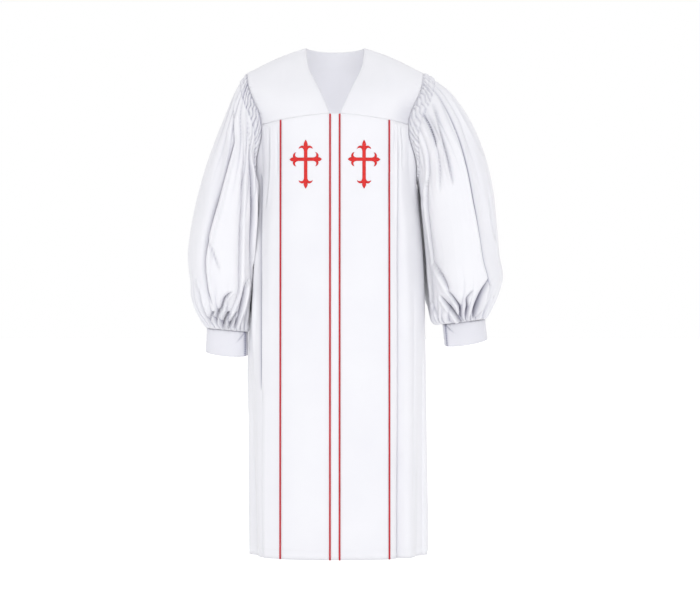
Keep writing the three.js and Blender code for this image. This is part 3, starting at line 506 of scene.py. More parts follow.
def ring_point(side, at, turn):
    def size(column):
        return read(SLEEVES[side], "at", column, at)

    angle = turn * 2 * np.pi
    sine, cosine = np.sin(angle), np.cos(angle)
    share = (signed_power(cosine, RING_POWER) + 1) / 2
    deep = signed_power(sine, RING_POWER) * np.where(sine > 0, size("front"), size("back"))
    lapped = size("lap") * bell(turn - LAP_TURN, LAP_HALF)
    lapped = lapped + size("wrap") * bell(turn - (1 - LAP_TURN), LAP_HALF)
    x = mix(size("in_x"), size("out_x"), share) - size("dip") * sine**8 - lapped
    return vector(side * x, -deep, mix(size("in_z"), size("out_z"), share))


def armhole(side, turn):
    return ring_point(side, np.zeros_like(turn), turn)


def yoke_seam(side, face, share):
    share = np.asarray(share, float)
    corner = armhole(side, np.array(0.25 if face > 0 else 0.75))
    corner_x = abs(corner[0])
    x = mix(PLACKET_HALF if face > 0 else 0, corner_x, share)
    z = mix(V_BOTTOM_Z if face > 0 else BACK_SEAM_Z, corner[2], share**1.5)
    plain = body_point(line_angle(side, x, face, z), z)
    corner_plain = body_point(line_angle(side, corner_x, face, corner[2]), corner[2])
    plain[..., 1] += (corner[1] - corner_plain[..., 1]) * share**6
    return plain


def shoulder_seam(side, share):
    top = armhole(side, np.array(0.0))
    z = mix(NECK_POINT[2], top[2], share) + SHOULDER_BULGE * np.sin(np.pi * share)
    return vector(side * mix(NECK_POINT[0], abs(top[0]), share), 0, z)


def front_neckline(side, share):
    passes = [(side * x, y, z) for x, y, z in (NECK_POINT, *NECKLINE_PASSES)]
    return smooth_line([*passes, yoke_seam(side, 1, 0)], share)


def back_neckline(side, share):
    angle = share * np.pi / 2
    z = mix(NECK_POINT[2], BACK_NECK[2], np.cos(angle) ** 2)
    return vector(side * NECK_POINT[0] * np.sin(angle), BACK_NECK[1] * np.cos(angle), z)


def back_middle(share):
    return smooth_line([BACK_NECK, *BACK_YOKE_PASSES, yoke_seam(1, -1, 0)], share)


# ---- Making meshes ----


def grid_normals(grid, closed, facing):
    """The direction out of a grid of points. facing: 1, or -1 where the columns run the other way."""
    down = np.gradient(grid, axis=0)
    if closed:
        along = np.roll(grid, -1, 1) - np.roll(grid, 1, 1)
    else:
        along = np.gradient(grid, axis=1)
    return facing * unit(np.cross(down, along))


def grid_faces(rows, columns, closed, facing):
    cells = columns if closed else columns - 1
    i, j = np.meshgrid(np.arange(rows - 1), np.arange(cells), indexing="ij")
    a, b = i * columns + j, i * columns + (j + 1) % columns
    quads = np.stack([a, a + columns, b + columns, b], -1).reshape(-1, 4)
    return quads if facing > 0 else quads[:, ::-1]


def add_mesh(name, points, faces, material, node=None):
    """A smooth mesh in the frame from points in millimetres, riding on the robe."""
    mesh = bpy.data.meshes.new(name)
    corners = (np.asarray(points).reshape(-1, 3) * MM).tolist()
    mesh.from_pydata(corners, [], [list(map(int, face)) for face in faces])
    mesh.validate()
    mesh.polygons.foreach_set("use_smooth", np.ones(len(mesh.polygons), bool))
    mesh.materials.append(material)
    piece = bpy.data.objects.new(name, mesh)
    bpy.context.scene.collection.objects.link(piece)
    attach(piece, "root")
    if node:
        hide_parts(node)
    return piece


def from_edge(edge, grid):
    """A view of a grid that starts with the named edge and goes in from it, row by row."""
    if edge in ("start", "end"):
        grid = np.swapaxes(grid, 0, 1)
    return grid[::-1] if edge in ("bottom", "end") else grid


def distances_in(lines):
    """How far each point of a grid lies from its first row, along the surface."""
    return np.cumsum(np.linalg.norm(np.diff(lines, axis=0, prepend=lines[:1]), axis=-1), 0)


def cloth(name, grid, closed, facing, thick, dark, material):
    """A shell of cloth on a grid of outer points, in place of the solid with the same name.

    dark: how much shade is painted on the cloth at each outer point, from 0 to 1, in creases and valleys.
    """
    rows, columns = grid.shape[:2]
    inner = grid - grid_normals(grid, closed, facing) * thick
    points = np.concatenate([grid.reshape(-1, 3), inner.reshape(-1, 3)])
    outside = grid_faces(rows, columns, closed, facing)
    count = rows * columns
    numbers = np.arange(count).reshape(rows, columns)
    rims = []
    for edge, sense in (("top", 1), ("bottom", -1), ("start", -1), ("end", 1))[: 2 if closed else 4]:
        line = from_edge(edge, numbers)[0]
        a, b = (line, np.roll(line, -1)) if closed else (line[:-1], line[1:])
        rims.append(np.stack([a, b, b + count, a + count], -1)[:, :: sense * facing])
    faces = np.concatenate([outside, outside[:, ::-1] + count, *rims])
    piece = add_mesh(name + "_cloth", points, faces, material or SATIN, name)
    # The painted shade is stored on the outer points; the inner points get none.
    painted_shade = piece.data.attributes.new("painted_shade", "FLOAT", "POINT")
    outer = np.broadcast_to(dark, (rows, columns)).ravel()
    painted_shade.data.foreach_set("value", np.concatenate([outer, 0 * outer]).astype(np.float32))
    return piece


def inset_line(grid, normals, edge, inset):
    """The line that runs along one edge of a grid at a distance inside it, and the way out of the cloth."""
    grid, normals = from_edge(edge, grid), from_edge(edge, normals)
    lengths = distances_in(grid)
    row = np.argmax(lengths >= inset, 0)
    columns = np.arange(grid.shape[1])
    before, after = lengths[row - 1, columns], lengths[row, columns]
    share = ((inset - before) / (after - before))[:, None]
    return (mix(source[row - 1, columns], source[row, columns], share) for source in (grid, normals))


def stitch_points(line, out, pitch=3.4, long=2.5, thick=0.42):
    """Rounded bars of thread end to end along a line, half sunk in the cloth: a ring of points a row."""
    lengths = distances_in(line)
    middles = np.arange(pitch, lengths[-1] - pitch / 2, pitch)

    def at(distance):
        return np.stack([np.interp(distance, lengths, line[:, k]) for k in range(3)], -1)

    along = unit(at(middles + long / 2) - at(middles - long / 2))[:, None, None]
    out = unit(np.stack([np.interp(middles, lengths, out[:, k]) for k in range(3)], -1))[:, None, None]
    across = np.cross(along, out)
    rings = np.array([(-0.5, 0.3), (0, 1), (0.5, 0.3)])  # places along a stitch, and how thick it is there
    far, round_about = rings[:, :1, None] * long, np.arange(4)[None, :, None] * np.pi / 2
    radius = rings[:, 1:, None] * thick
    ring = across * np.cos(round_about) * radius + out * (np.sin(round_about) * 0.8 + 0.3) * radius
    return at(middles)[:, None, None] + along * far + ring


def sew(piece, grid, facing, lines, closed):
    """Stitches along lines inside the edges of a piece's grid: (edge, distance inside it)."""
    normals = grid_normals(grid, closed, facing)
    if closed:
        grid, normals = (np.concatenate([source, source[:, :1]], 1) for source in (grid, normals))
    threads = np.concatenate([stitch_points(*inset_line(grid, normals, *line)) for line in lines])
    count, rings, sides = threads.shape[:3]
    one = grid_faces(rings, sides, True, 1).tolist()
    one += [list(range(sides)), list(range(rings * sides - 1, (rings - 1) * sides - 1, -1))]
    faces = [[corner + stitch * rings * sides for corner in face] for stitch in range(count) for face in one]
    return add_mesh(piece.name.replace("_cloth", "_stitches"), threads, faces, SEWING)


def edge_dip(grid, edges, depth, reach, closed, facing):
    """Rolls the named edges of a grid in a little, as at a pressed seam."""
    dip = np.zeros(grid.shape[:2])
    for edge in edges:
        from_edge(edge, dip)[:] += bell(distances_in(from_edge(edge, grid)), reach)
    return grid - grid_normals(grid, closed, facing) * (np.minimum(dip, 1) * depth)[..., None]


def part_from_seam(grid, edges):
    """Pulls a grid's edges in along the surface, so that sewn pieces don't touch."""
    made = grid.copy()
    for edge in edges:
        lines = from_edge(edge, made)
        lines[0] += unit(lines[1] - lines[0]) * SEAM / 2
    return made


def sew_up(name, grid, seams=(), rolled=None, stitched=(), facing=1, closed=False,
           dark=0, thick=CLOTH, material=None, depth=0.9, reach=4.0):
    """seams: the edges that are sewn to another piece. rolled: those that roll in, where they aren't the same.
    stitched: the lines of stitches, as (edge, distance inside it).
    """
    grid = part_from_seam(grid, seams)
    grid = edge_dip(grid, seams if rolled is None else rolled, depth, reach, closed, facing)
    piece = cloth(name, grid, closed, facing, thick, dark, material)
    stitches = sew(piece, grid, facing, stitched, closed)


# ---- Materials ----


def node_material(name):
    material = bpy.data.materials.new(name)
    material.use_nodes = True
    return material, material.node_tree, material.node_tree.nodes["Principled BSDF"]


def set_node(node, **values):
    """Settings of a shader node, and its sockets by name."""
    for key, value in values.items():
        if hasattr(node, key):
            setattr(node, key, value)
        else:
            node.inputs[key.replace("_", " ")].default_value = value
    return node


def add_node(tree, kind, **values):
    return set_node(tree.nodes.new(kind), **values)


def texture(tree, kind, place, **values):
    """The pattern of a texture over places."""
    node = add_node(tree, kind, **values)
    tree.links.new(place, node.inputs["Vector"])
    return node.outputs["Fac"]


def two_tones(tree, pattern, dark, bright, start=0.3, end=0.7):
    """A colour that goes from dark to bright between two values of a pattern."""
    ramp = add_node(tree, "ShaderNodeValToRGB")
    for element, position, tone in zip(ramp.color_ramp.elements, (start, end), (dark, bright)):
        element.position = position
        element.color = (*tone, 1)
    tree.links.new(pattern, ramp.inputs["Fac"])
    return ramp.outputs["Color"]


def raise_surface(tree, shader, height, strength, distance):
    bump = add_node(tree, "ShaderNodeBump", Strength=strength, Distance=distance)
    tree.links.new(height, bump.inputs["Height"])
    tree.links.new(bump.outputs["Normal"], shader.inputs["Normal"])


def satin_material(name, dark, bright):
    """White satin-faced cloth: a fine twill under a soft sheen, uneven in tone, with shade painted into its
    creases.
    """
    material, tree, shader = node_material(name)
    place = add_node(tree, "ShaderNodeTexCoord").outputs["Object"]
    tone = texture(tree, "ShaderNodeTexNoise", place, Scale=7.0, Detail=3.0)
    # The mesh attribute mixes the base colour towards a dark grey-blue: shade painted into creases and
    # valleys.
    painted_shade = add_node(tree, "ShaderNodeAttribute", attribute_name="painted_shade")
    tint = add_node(tree, "ShaderNodeMix", data_type="RGBA", clamp_factor=True)
    tint.inputs["B"].default_value = PAINTED_CREASE_SHADE_COLOUR
    tree.links.new(painted_shade.outputs["Fac"], tint.inputs["Factor"])
    tree.links.new(two_tones(tree, tone, dark, bright), tint.inputs["A"])
    tree.links.new(tint.outputs["Result"], shader.inputs["Base Color"])

    weave = add_node(tree, "ShaderNodeMath", operation="ADD")
    twill = dict(bands_direction="DIAGONAL", Scale=420.0, Distortion=1.5)
    tree.links.new(texture(tree, "ShaderNodeTexWave", place, **twill), weave.inputs[0])
    slub = dict(Scale=900.0, Detail=2.0)
    tree.links.new(texture(tree, "ShaderNodeTexNoise", place, **slub), weave.inputs[1])
    raise_surface(tree, shader, weave.outputs[0], 0.12, 0.0002)

    rough = add_node(tree, "ShaderNodeMapRange", To_Min=0.42, To_Max=0.52)
    tree.links.new(tone, rough.inputs["Value"])
    tree.links.new(rough.outputs["Result"], shader.inputs["Roughness"])
    set_node(shader, Specular_IOR_Level=0.35, Sheen_Weight=0.12, Sheen_Roughness=0.4)
    return material


def red_material(name, dark, bright, scale, roughness):
    """Red thread or braid: fine ridges across it, and an uneven tone."""
    material, tree, shader = node_material(name)
    place = add_node(tree, "ShaderNodeTexCoord").outputs
    tone = texture(tree, "ShaderNodeTexNoise", place["Object"], Scale=120.0, Detail=2.0)
    tree.links.new(two_tones(tree, tone, dark, bright), shader.inputs["Base Color"])
    ridges = dict(bands_direction="X", Scale=scale, Distortion=0.6)
    raise_surface(tree, shader, texture(tree, "ShaderNodeTexWave", place["UV"], **ridges), 0.5, 0.0003)
    set_node(shader, Roughness=roughness, Specular_IOR_Level=0.3, Sheen_Weight=0.05)
    return material


def thread_material():
    """White sewing thread: two plies twisted, a little glossier than the cloth."""
    material, tree, shader = node_material("white_thread")
    place = add_node(tree, "ShaderNodeTexCoord").outputs["Object"]
    twist = dict(bands_direction="DIAGONAL", Scale=900.0, Distortion=0.4)
    plies = texture(tree, "ShaderNodeTexWave", place, **twist)
    tones = two_tones(tree, plies, (0.66, 0.66, 0.70), (0.80, 0.80, 0.83), start=0, end=1)
    tree.links.new(tones, shader.inputs["Base Color"])
    raise_surface(tree, shader, plies, 0.3, 0.0001)
    set_node(shader, Roughness=0.4)
    return material


SATIN = satin_material("white_satin", (0.75, 0.75, 0.79), (0.775, 0.775, 0.81))
# The cuffs' satin is a darker copy of the same cloth: painted shade, so the cuffs read less bright under the
# light.
CUFF_SATIN_SHADED = satin_material("white_satin_painted_darker", (0.675, 0.675, 0.725), (0.71, 0.71, 0.76))
SEWING = thread_material()
BRAID = red_material("red_piping", (0.44, 0.016, 0.026), (0.55, 0.024, 0.036), 320.0, 0.55)
THREAD = red_material("red_thread", (0.58, 0.012, 0.012), (0.70, 0.02, 0.017), 240.0, 0.45)


# ---- Yoke ----


def coons(u, v, top, bottom, start, end):
    """A patch whose four edges are given curves, as a grid with a row for each v."""
    along, down = u[None, :, None], v[:, None, None]
    a, b, c, d = top(u)[None], bottom(u)[None], start(v)[:, None], end(v)[:, None]
    patch = a * (1 - down) + b * down + c * (1 - along) + d * along
    corners = [(a[:, :1], 1 - along, 1 - down), (a[:, -1:], along, 1 - down)]
    corners += [(b[:, :1], 1 - along, down), (b[:, -1:], along, down)]
    return patch - sum(p * s * t for p, s, t in corners)


# Small waves of the yokes: how many pull at an armhole and at the front seam, and how high they are.
ARMHOLE_PUCKERS = dict(front=19, back=21, high=1.6)
SEAM_PUCKERS = dict(count=34, high=1.2)
YOKE_DRAG = dict(deep=2.2, start=0.2, end=0.75, half=0.10)  # a shallow fold from neck to armhole
# Where the shade painted on a front yoke lies.
YOKE_CORNER = dict(across=0.96, down=0.92, half=0.16)
YOKE_UNEVEN = dict(front=1.1, back=1.3)
NECK_SHARE = 0.4  # of the back yoke's upper edge


def yoke_front(side):
    rows, columns = YOKE_FRONT_GRID
    u, v = np.linspace(0, 1, columns), np.linspace(0, 1, rows)
    grid = coons(
        u, v,
        lambda s: shoulder_seam(side, s),
        lambda s: yoke_seam(side, 1, s),
        lambda s: front_neckline(side, s),
        lambda s: armhole(side, s / 4),
    )
    normals = grid_normals(grid, False, side)
    across, down = u[None, :], v[:, None]
    waves = billows(down * ARMHOLE_PUCKERS["front"] + 0.3 * uneven(down * 30, side), 1.0)
    pucker = bell(across - 1, 0.09) * waves * ARMHOLE_PUCKERS["high"]
    waves = billows(across * SEAM_PUCKERS["count"], 1.0)
    sewn = bell(down - 1, 0.05) * across**4 * waves * SEAM_PUCKERS["high"]
    soft = YOKE_UNEVEN["front"] * uneven(across * 5 + down * 3, 2 + side)
    soft = soft * np.sin(np.pi * across) * np.sin(np.pi * down)
    along = mix(YOKE_DRAG["start"], YOKE_DRAG["end"], down)
    drag = -YOKE_DRAG["deep"] * bell(along - across, YOKE_DRAG["half"])
    drag = drag * ease((down - YOKE_DRAG["start"]) / 0.5) * (1 - down) * 2
    grid = grid + normals * (pucker + sewn + soft + drag)[..., None]
    # Shade painted on the lower outer corner of the yoke.
    corner = bell(across - YOKE_CORNER["across"], YOKE_CORNER["half"])
    dark = YOKE_PAINTED_SHADE[side] * corner * bell(down - YOKE_CORNER["down"], YOKE_CORNER["half"])
    sew_up(
        "yoke_front_" + SIDE_NAMES[side], grid,
        seams=("top", "bottom", "end"), stitched=(("start", 5), ("bottom", 2.4)), facing=side, dark=dark,
    )


def back_yoke_half(side):
    def top(u):
        neck = back_neckline(side, np.clip(u / NECK_SHARE, 0, 1))
        shoulder = shoulder_seam(side, np.clip((u - NECK_SHARE) / (1 - NECK_SHARE), 0, 1))
        return np.where((u < NECK_SHARE)[:, None], neck, shoulder)

    rows, columns = YOKE_BACK_GRID
    return coons(
        np.linspace(0, 1, columns), np.linspace(0, 1, rows),
        top,
        lambda s: yoke_seam(side, -1, s),
        back_middle,
        lambda s: armhole(side, 1 - s / 4),
    )


def yoke_back():
    grid = np.concatenate([back_yoke_half(-1)[:, :0:-1], back_yoke_half(1)], 1)
    across = np.linspace(-1, 1, grid.shape[1])[None, :]
    down = np.linspace(0, 1, grid.shape[0])[:, None]
    normals = grid_normals(grid, False, -1)
    waves = billows(down * ARMHOLE_PUCKERS["back"] + 0.3 * uneven(down * 30, 5), 1.0)
    pucker = bell(np.abs(across) - 1, 0.08) * waves * ARMHOLE_PUCKERS["high"]
    soft = YOKE_UNEVEN["back"] * uneven(across * 6 + down * 3, 7) * np.sin(np.pi * down)
    grid = grid + normals * (pucker + soft)[..., None]
    sew_up(
        "yoke_back", grid,
        seams=("top", "bottom", "start", "end"), rolled=("bottom", "start", "end"),
        stitched=(("top", 5), ("bottom", 2.4)), facing=-1,
    )


# ---- Body panels ----


def front_point(side, distance, down):
    """The outer surface of the front at distances from the middle, from the yoke down to the hem."""
    corner = abs(armhole(side, np.array(0.25))[0])
    across = np.maximum(0, (distance - PLACKET_HALF) / (corner - PLACKET_HALF))
    top = yoke_seam(side, 1, across)[..., 2]
    z = mix(top, HEM_Z, down)
    angle = line_angle(side, distance, 1, z)
    out = fluting(angle, z, top) + body_creasing(angle, z, top)[0]
    return body_point(angle, z) + body_normal(angle, z) * out[..., None]


PANEL_DOWN = np.linspace(0, 1, PANEL_ROWS)[:, None] ** 1.5
PANEL_UNEVEN = 1.4
CROSS_FLAT = 150  # how far from a cross's middle the panel under it stays flat
# How the upper edge of a side panel is shared out between the yoke, for each face, and the armhole.
YOKE_PLACES = {1: 4, -1: 12}
ARMHOLE_PLACES = 15
# Gathers under the yoke, for each face: how close and how high they are.
PANEL_GATHERS = {1: dict(pitch=2.2, high=1.6), -1: dict(pitch=1.05, high=3.0)}


def placket():
    distance = np.linspace(-PLACKET_HALF, PLACKET_HALF, PLACKET_COLUMNS)[None, :]
    right = front_point(-1, np.abs(distance), PANEL_DOWN)
    left = front_point(1, np.abs(distance), PANEL_DOWN)
    grid = np.where((distance < 0)[..., None], right, left)
    sew_up(
        "zip_placket", grid,
        seams=("start", "end"), stitched=(("start", 3.6), ("end", 3.6)), depth=0.6, reach=3,
    )


def front_panel(side):
    share = np.linspace(0, 1, FRONT_PANEL_COLUMNS)
    distance = mix(PLACKET_HALF, PANEL_EDGE, share)[None, :]
    grid = front_point(side, distance, PANEL_DOWN)
    inside = np.sin(np.pi * share)[None, :]
    soft = PANEL_UNEVEN * uneven(PANEL_DOWN * 9 + distance / 60, 3 + side) * inside * ease(PANEL_DOWN / 0.15)
    at_cross = bell(mix(V_BOTTOM_Z - 3, HEM_Z, PANEL_DOWN) - CROSS["z"], CROSS_FLAT)
    grid[..., 1] -= soft * (1 - at_cross)
    sew_up(
        "front_panel_" + SIDE_NAMES[side], grid,
        seams=("top", "start", "end"), stitched=(("bottom", HEM_DEPTH),), facing=side,
    )


def side_panel(name, side, face, inner, columns):
    """A panel that hangs from the yoke's seam and a quarter of the armhole, down to the hem."""
    yoke_places = YOKE_PLACES[face]
    place = np.linspace(0, yoke_places + ARMHOLE_PLACES, columns)
    corner = abs(armhole(side, np.array(0.25))[0])
    seam_start = PLACKET_HALF if face > 0 else 0
    inner_share = (inner - seam_start) / (corner - seam_start)
    under_yoke = yoke_seam(side, face, mix(inner_share, 1, np.clip(place / yoke_places, 0, 1)))
    arm_share = np.clip((place - yoke_places) / ARMHOLE_PLACES, 0, 1)
    under_arm = armhole(side, 0.5 - face * (1 - arm_share) / 4)
    top = np.where((place < yoke_places)[:, None], under_yoke, under_arm)

    side_angle = side * np.pi / 2
    down = PANEL_DOWN
    top_z = top[:, 2][None]
    z = mix(top_z, HEM_Z, down)
    top_angle = np.where(place >= place[-1], side_angle, body_angle(side, top))
    top_inner = line_angle(side, inner, face, top[:, 2])
    top_share = (top_angle - top_inner) / (side_angle - top_inner)
    share = mix(top_share[None], (place / place[-1])[None], ease(down))
    angle = mix(line_angle(side, inner, face, z), side_angle, share)
    offset = top - body_point(top_angle, top[:, 2])
    p = body_point(angle, z) + offset[None] * (1 - ease(down / 0.12))[..., None]

    out, dark = body_creasing(angle, z, top_z)
    out = out + fluting(angle, z, top_z)
    place = place[None]
    made = PANEL_GATHERS[face]
    waves = billows(place * made["pitch"] + 0.35 * uneven(place * 1.7, side * 3 + face), 0.8)
    reach = 0.10 + 0.05 * uneven(place * 2.6, side + 5 * face)
    gathers = made["high"] * waves * ease(down / 0.008) * (1 - ease(down / reach))
    under_seam = place < yoke_places
    out += gathers * under_seam * ease(place / 0.6)
    # Shade painted into the valleys of the gathers under the yoke.
    dark = dark + 0.1 * gathers * (1 - waves) ** 2 * under_seam
    grid = p + body_normal(angle, z) * out[..., None]
    sew_up(
        name + SIDE_NAMES[side], grid, seams=("top", "start", "end"),
        stitched=(("bottom", HEM_DEPTH),), facing=side * face, dark=dark,
    )


def front_side(side):
    side_panel("front_side_", side, 1, PANEL_EDGE, FRONT_SIDE_COLUMNS)


def back_half(side):
    side_panel("back_", side, -1, 0, BACK_COLUMNS)


# ---- Sleeves ----


def clear_of_body(side, p):
    """Moves a sleeve's points out of the body, and clear of it."""
    flute = np.maximum(0, fluting(body_angle(side, p), p[..., 2], V_BOTTOM_Z))
    half = half_width(side, p[..., 2]) + BODY_CLEARANCE + flute
    depth = depth_to(-p[..., 1], p[..., 2]) + BODY_CLEARANCE + flute
    level = np.abs(p[..., 0] / half) ** SQUARENESS + np.abs(p[..., 1] / depth) ** SQUARENESS
    grow = np.where(level < 1, np.maximum(level, 1e-6) ** (-1 / SQUARENESS), 1)
    return p * np.stack([grow, grow, np.ones_like(grow)], -1)


def crease(at, turn, girth, path, deep, half, lip, painted_shade):
    """How far one crease moves a sleeve's cloth out of its plain ring, and the shade it paints on the cloth.
    """
    places = table("at turn", *path)
    first, last = places["at"][0], places["at"][-1]
    along = np.clip((at - first) / (last - first), 0, 1)
    apart = turn - read(places, "at", "turn", at)
    away = (apart - np.round(apart)) * girth
    fades = np.sin(np.pi * along) ** 0.5
    return -deep * fades * crease_section(away, half, lip), painted_shade * fades * crease_painted_shade(away, half, lip)


def ring_axis(side, at):
    """The direction in which a sleeve leaves the plane of one of its rings, towards the cuff."""
    inward = ring_point(side, np.array(at), np.array(0.5)) - ring_point(side, np.array(at), np.array(0.0))
    return unit(np.cross(inward, (0, side, 0)))


def across_ring(direction, axis):
    return unit(direction - axis * (direction @ axis)[..., None])


def gathered(turn, falling, away, seeds, count, sunk, reach, heights):
    """Gathers at one end of a sleeve: how far they move the cloth out, and how deep it lies in a valley.

    falling: where round the sleeve each point's gather starts. away: how far the point is from that end.
    """
    waves = billows(count * falling + 0.5 * uneven_ring(turn, seeds[0]))
    high = read(heights, "away", "high", away / (1 + reach * uneven_ring(turn, seeds[1])))
    return high * (waves - sunk), high, (1 - waves) ** 2


def sleeve_relief(side, at, turn, girth, length):
    """How far gathers, shirring and creases move a sleeve's cloth out, and the shade they paint on it."""
    first, _, last = SHIRRING["rows"]
    lean = HEAD_LEAN[side] * (1 - np.exp(-np.maximum(at - last, 0) / LEAN_RUN))
    falling = turn - lean * np.sin(2 * np.pi * turn)
    head, head_high, head_valley = gathered(turn, falling, at, (2 + side, 9 + side), **HEAD_GATHERS)
    cuff, cuff_high, cuff_valley = gathered(turn, turn, length - at, (4 - side, 13 - side), **CUFF_GATHERS)

    in_band = ease((last + 3 - at) / 4)
    slanted = turn - SHIRRING["slant"] * at * np.sin(2 * np.pi * turn)
    broken = 0.18 * np.sin(at / 6 + 9 * uneven_ring(turn, 6)) + 0.5 * uneven_ring(turn, 8)
    puckers = billows(SHIRRING["puckers"] * slanted + broken, 0.8)
    band = SHIRRING["high"] * (puckers - SHIRRING["sunk"]) * in_band * ease(at / first)
    sewn = zip(SHIRRING["rows"], SHIRRING["grooves"])
    grooves = sum(deep * bell(at - row, SHIRRING["half"]) for row, deep in sewn)

    out = head + cuff + (band - grooves)
    # Shade painted into the valleys of the gathers and the band, and into its sewn rows.
    dark = HEAD_PAINTED_SHADE[side] * head_high * head_valley
    dark = dark + CUFF_GATHER_PAINTED_SHADE * cuff_high * cuff_valley
    dark = dark + in_band * BAND_PAINTED_SHADE[side] * ((1 - puckers) ** 1.5 + GROOVE_PAINTED_SHADE * grooves)
    for fold in CREASES[side]:
        moved, darker = crease(at, turn, girth, **fold)
        out, dark = out + moved, dark + darker
    return out, dark


def sleeve_places(length):
    """The places of a sleeve's points: closer at the head and the cuff, and in front."""
    rows, columns = SLEEVE_GRID
    stops = table("share at", (0, 0), (0.17, 44), (0.32, 120), (0.66, 545), (1, length))
    at = np.interp(np.linspace(0, 1, rows), stops["share"], stops["at"])[:, None]
    turn = np.arange(columns)[None, :] / columns
    finer = FRONT_FINER / (2 * np.pi)
    return at, turn - finer * np.sin(2 * np.pi * (turn - 0.25)) - finer


def sleeve(side):
    length = SLEEVES[side]["at"][-1]
    at, turn = sleeve_places(length)
    near = 0.004
    along = ring_point(side, at, turn + near) - ring_point(side, at, turn - near)
    following = ring_point(side, at + 2, turn) - ring_point(side, at - 2, turn)
    girth = np.linalg.norm(along, axis=-1) / (2 * near)
    outward = unit(-side * np.cross(following, along))
    for end, run in ((0, LEVEL_RUN["head"]), (length, LEVEL_RUN["cuff"])):
        level = across_ring(outward, ring_axis(side, end))
        outward = unit(mix(outward, level, (1 - ease(np.abs(at - end) / run))[..., None]))
    plain = ring_point(side, at, turn)
    out, dark = sleeve_relief(side, at, turn, girth, length)
    grid = plain + outward * out[..., None]
    grid = grid + ring_axis(side, 0) * SEAM * (1 - at / length)[..., None]
    grid = mix(grid, clear_of_body(side, grid), ease(at / FREE_RUN)[..., None])
    sew_up(
        "sleeve_" + SIDE_NAMES[side], grid,
        stitched=[("top", row) for row in SHIRRING["rows"]], facing=-side, closed=True, dark=dark,
    )


# ---- Cuffs ----


def cuff_grid(side, down, turn):
    """A cuff's outer surface. down: from the sleeve's seam, 0, to the lower edge, 1."""
    start, end = SLEEVES[side], CUFF_ENDS[side]

    def size(column):
        return mix(start[column][-1], end[column], down)

    angle = turn * 2 * np.pi
    sine, share = np.sin(angle), (np.cos(angle) + 1) / 2
    deep = sine * np.where(sine > 0, size("front"), size("back"))
    x = side * mix(size("in_x"), size("out_x"), share)
    z = mix(size("in_z"), size("out_z"), share) - end["dip"] * down * sine
    return vector(x, -deep, z) + ring_axis(side, start["at"][-1]) * SEAM


# The buckle is a short slanting crease beside a cuff's lapped edge, from one turn to another.
CUFF_BUCKLE = dict(deep=3.2, start=0.42, end=0.34, half=0.011)
CUFF_WAVES = dict(count=30, high=0.9)  # where the sleeve draws the cuff in
CUFF_UNEVEN = 0.8
# Shade painted on a cuff: along its lapped edge, in the buckle, and under its seam.
CUFF_PAINTED_SHADE = dict(lap=1.5, buckle=0.6, seam=0.25)


def cuff(side):
    rows, columns = CUFF_GRID
    down = np.linspace(0, 1, rows)[:, None]
    turn = np.arange(columns)[None, :] / columns
    grid = cuff_grid(side, down, turn)
    edge = CUFF_OVERLAP["edge"]
    under = ease((turn - edge) / 0.006) * (1 - ease((turn - edge - 0.01) / 0.1))
    waves = billows(turn * CUFF_WAVES["count"] + 0.4 * uneven_ring(turn, side), 1.0)
    drawn = CUFF_WAVES["high"] * waves * bell(down, 0.13)
    along = mix(CUFF_BUCKLE["start"], CUFF_BUCKLE["end"], down / 0.4)
    buckled = bell(turn - along, CUFF_BUCKLE["half"]) * bell(down - 0.2, 0.22)
    soft = CUFF_UNEVEN * uneven_ring(turn, 3 + side) * np.sin(np.pi * down)
    relief = -CUFF_OVERLAP["step"] * under + drawn - CUFF_BUCKLE["deep"] * buckled + soft
    # A dotted line of painted shade along the lapped edge, and painted shade in the buckle and under the seam.
    stitched = bell(turn - edge, 0.018) * (0.7 + 0.3 * np.sin(80 * down))
    dark = CUFF_PAINTED_SHADE["lap"] * stitched + CUFF_PAINTED_SHADE["buckle"] * buckled**2
    dark = dark + CUFF_PAINTED_SHADE["seam"] * bell(down, 0.05)
    grid = grid + grid_normals(grid, True, -side) * relief[..., None]
    sew_up(
        "cuff_" + SIDE_NAMES[side], grid,
        rolled=("top",), stitched=(("top", 4), ("bottom", 4)), facing=-side, closed=True, dark=dark,
        thick=CUFF_CLOTH, material=CUFF_SATIN_SHADED, depth=1.0, reach=3,
    )


# ---- Pipings and crosses ----


def piping(name, side, distance):
    """A cord along a front seam, from the yoke to the hem."""
    rows, columns = PIPING_GRID
    down = np.linspace(0, 1, rows)[:, None] ** 1.5
    place = front_point(side, np.full_like(down, distance), down)[:, 0]
    angle = line_angle(side, distance, 1, place[:, 2])
    out = body_normal(angle, place[:, 2])[:, None]
    across = unit(np.cross((0, 0, 1), out))
    round_about = np.linspace(0, np.pi, columns)[None, :, None]
    wide = PIPING_HALF * np.cos(round_about) * -1
    high = PIPING_HIGH * np.sin(round_about) ** 0.8
    grid = place[:, None] + across * wide + out * (LAY + high)
    faces = grid_faces(rows, columns, True, 1).tolist()
    faces += [list(range(columns - 1, -1, -1)), [(rows - 1) * columns + j for j in range(columns)]]
    node = f"piping_{name}_{SIDE_NAMES[side]}"
    piece = add_mesh(node + "_cord", grid, faces, BRAID, node)
    set_uv(piece, np.repeat(distances_in(place) * MM, columns), np.tile(np.linspace(0, 0.005, columns), rows))


def set_uv(piece, u, v):
    """One flat place in metres for each point of a mesh."""
    layer = piece.data.uv_layers.new(name="threads")
    points = np.empty(len(piece.data.loops), int)
    piece.data.loops.foreach_get("vertex_index", points)
    layer.data.foreach_set("uv", np.stack([u[points], v[points]], -1).ravel())


def quadratic(start, through, end, count=6):
    t = np.linspace(0, 1, count + 1)[1:, None]
    start, through, end = map(np.array, (start, through, end))
    return (1 - t) ** 2 * start + 2 * t * (1 - t) * through + t * t * end


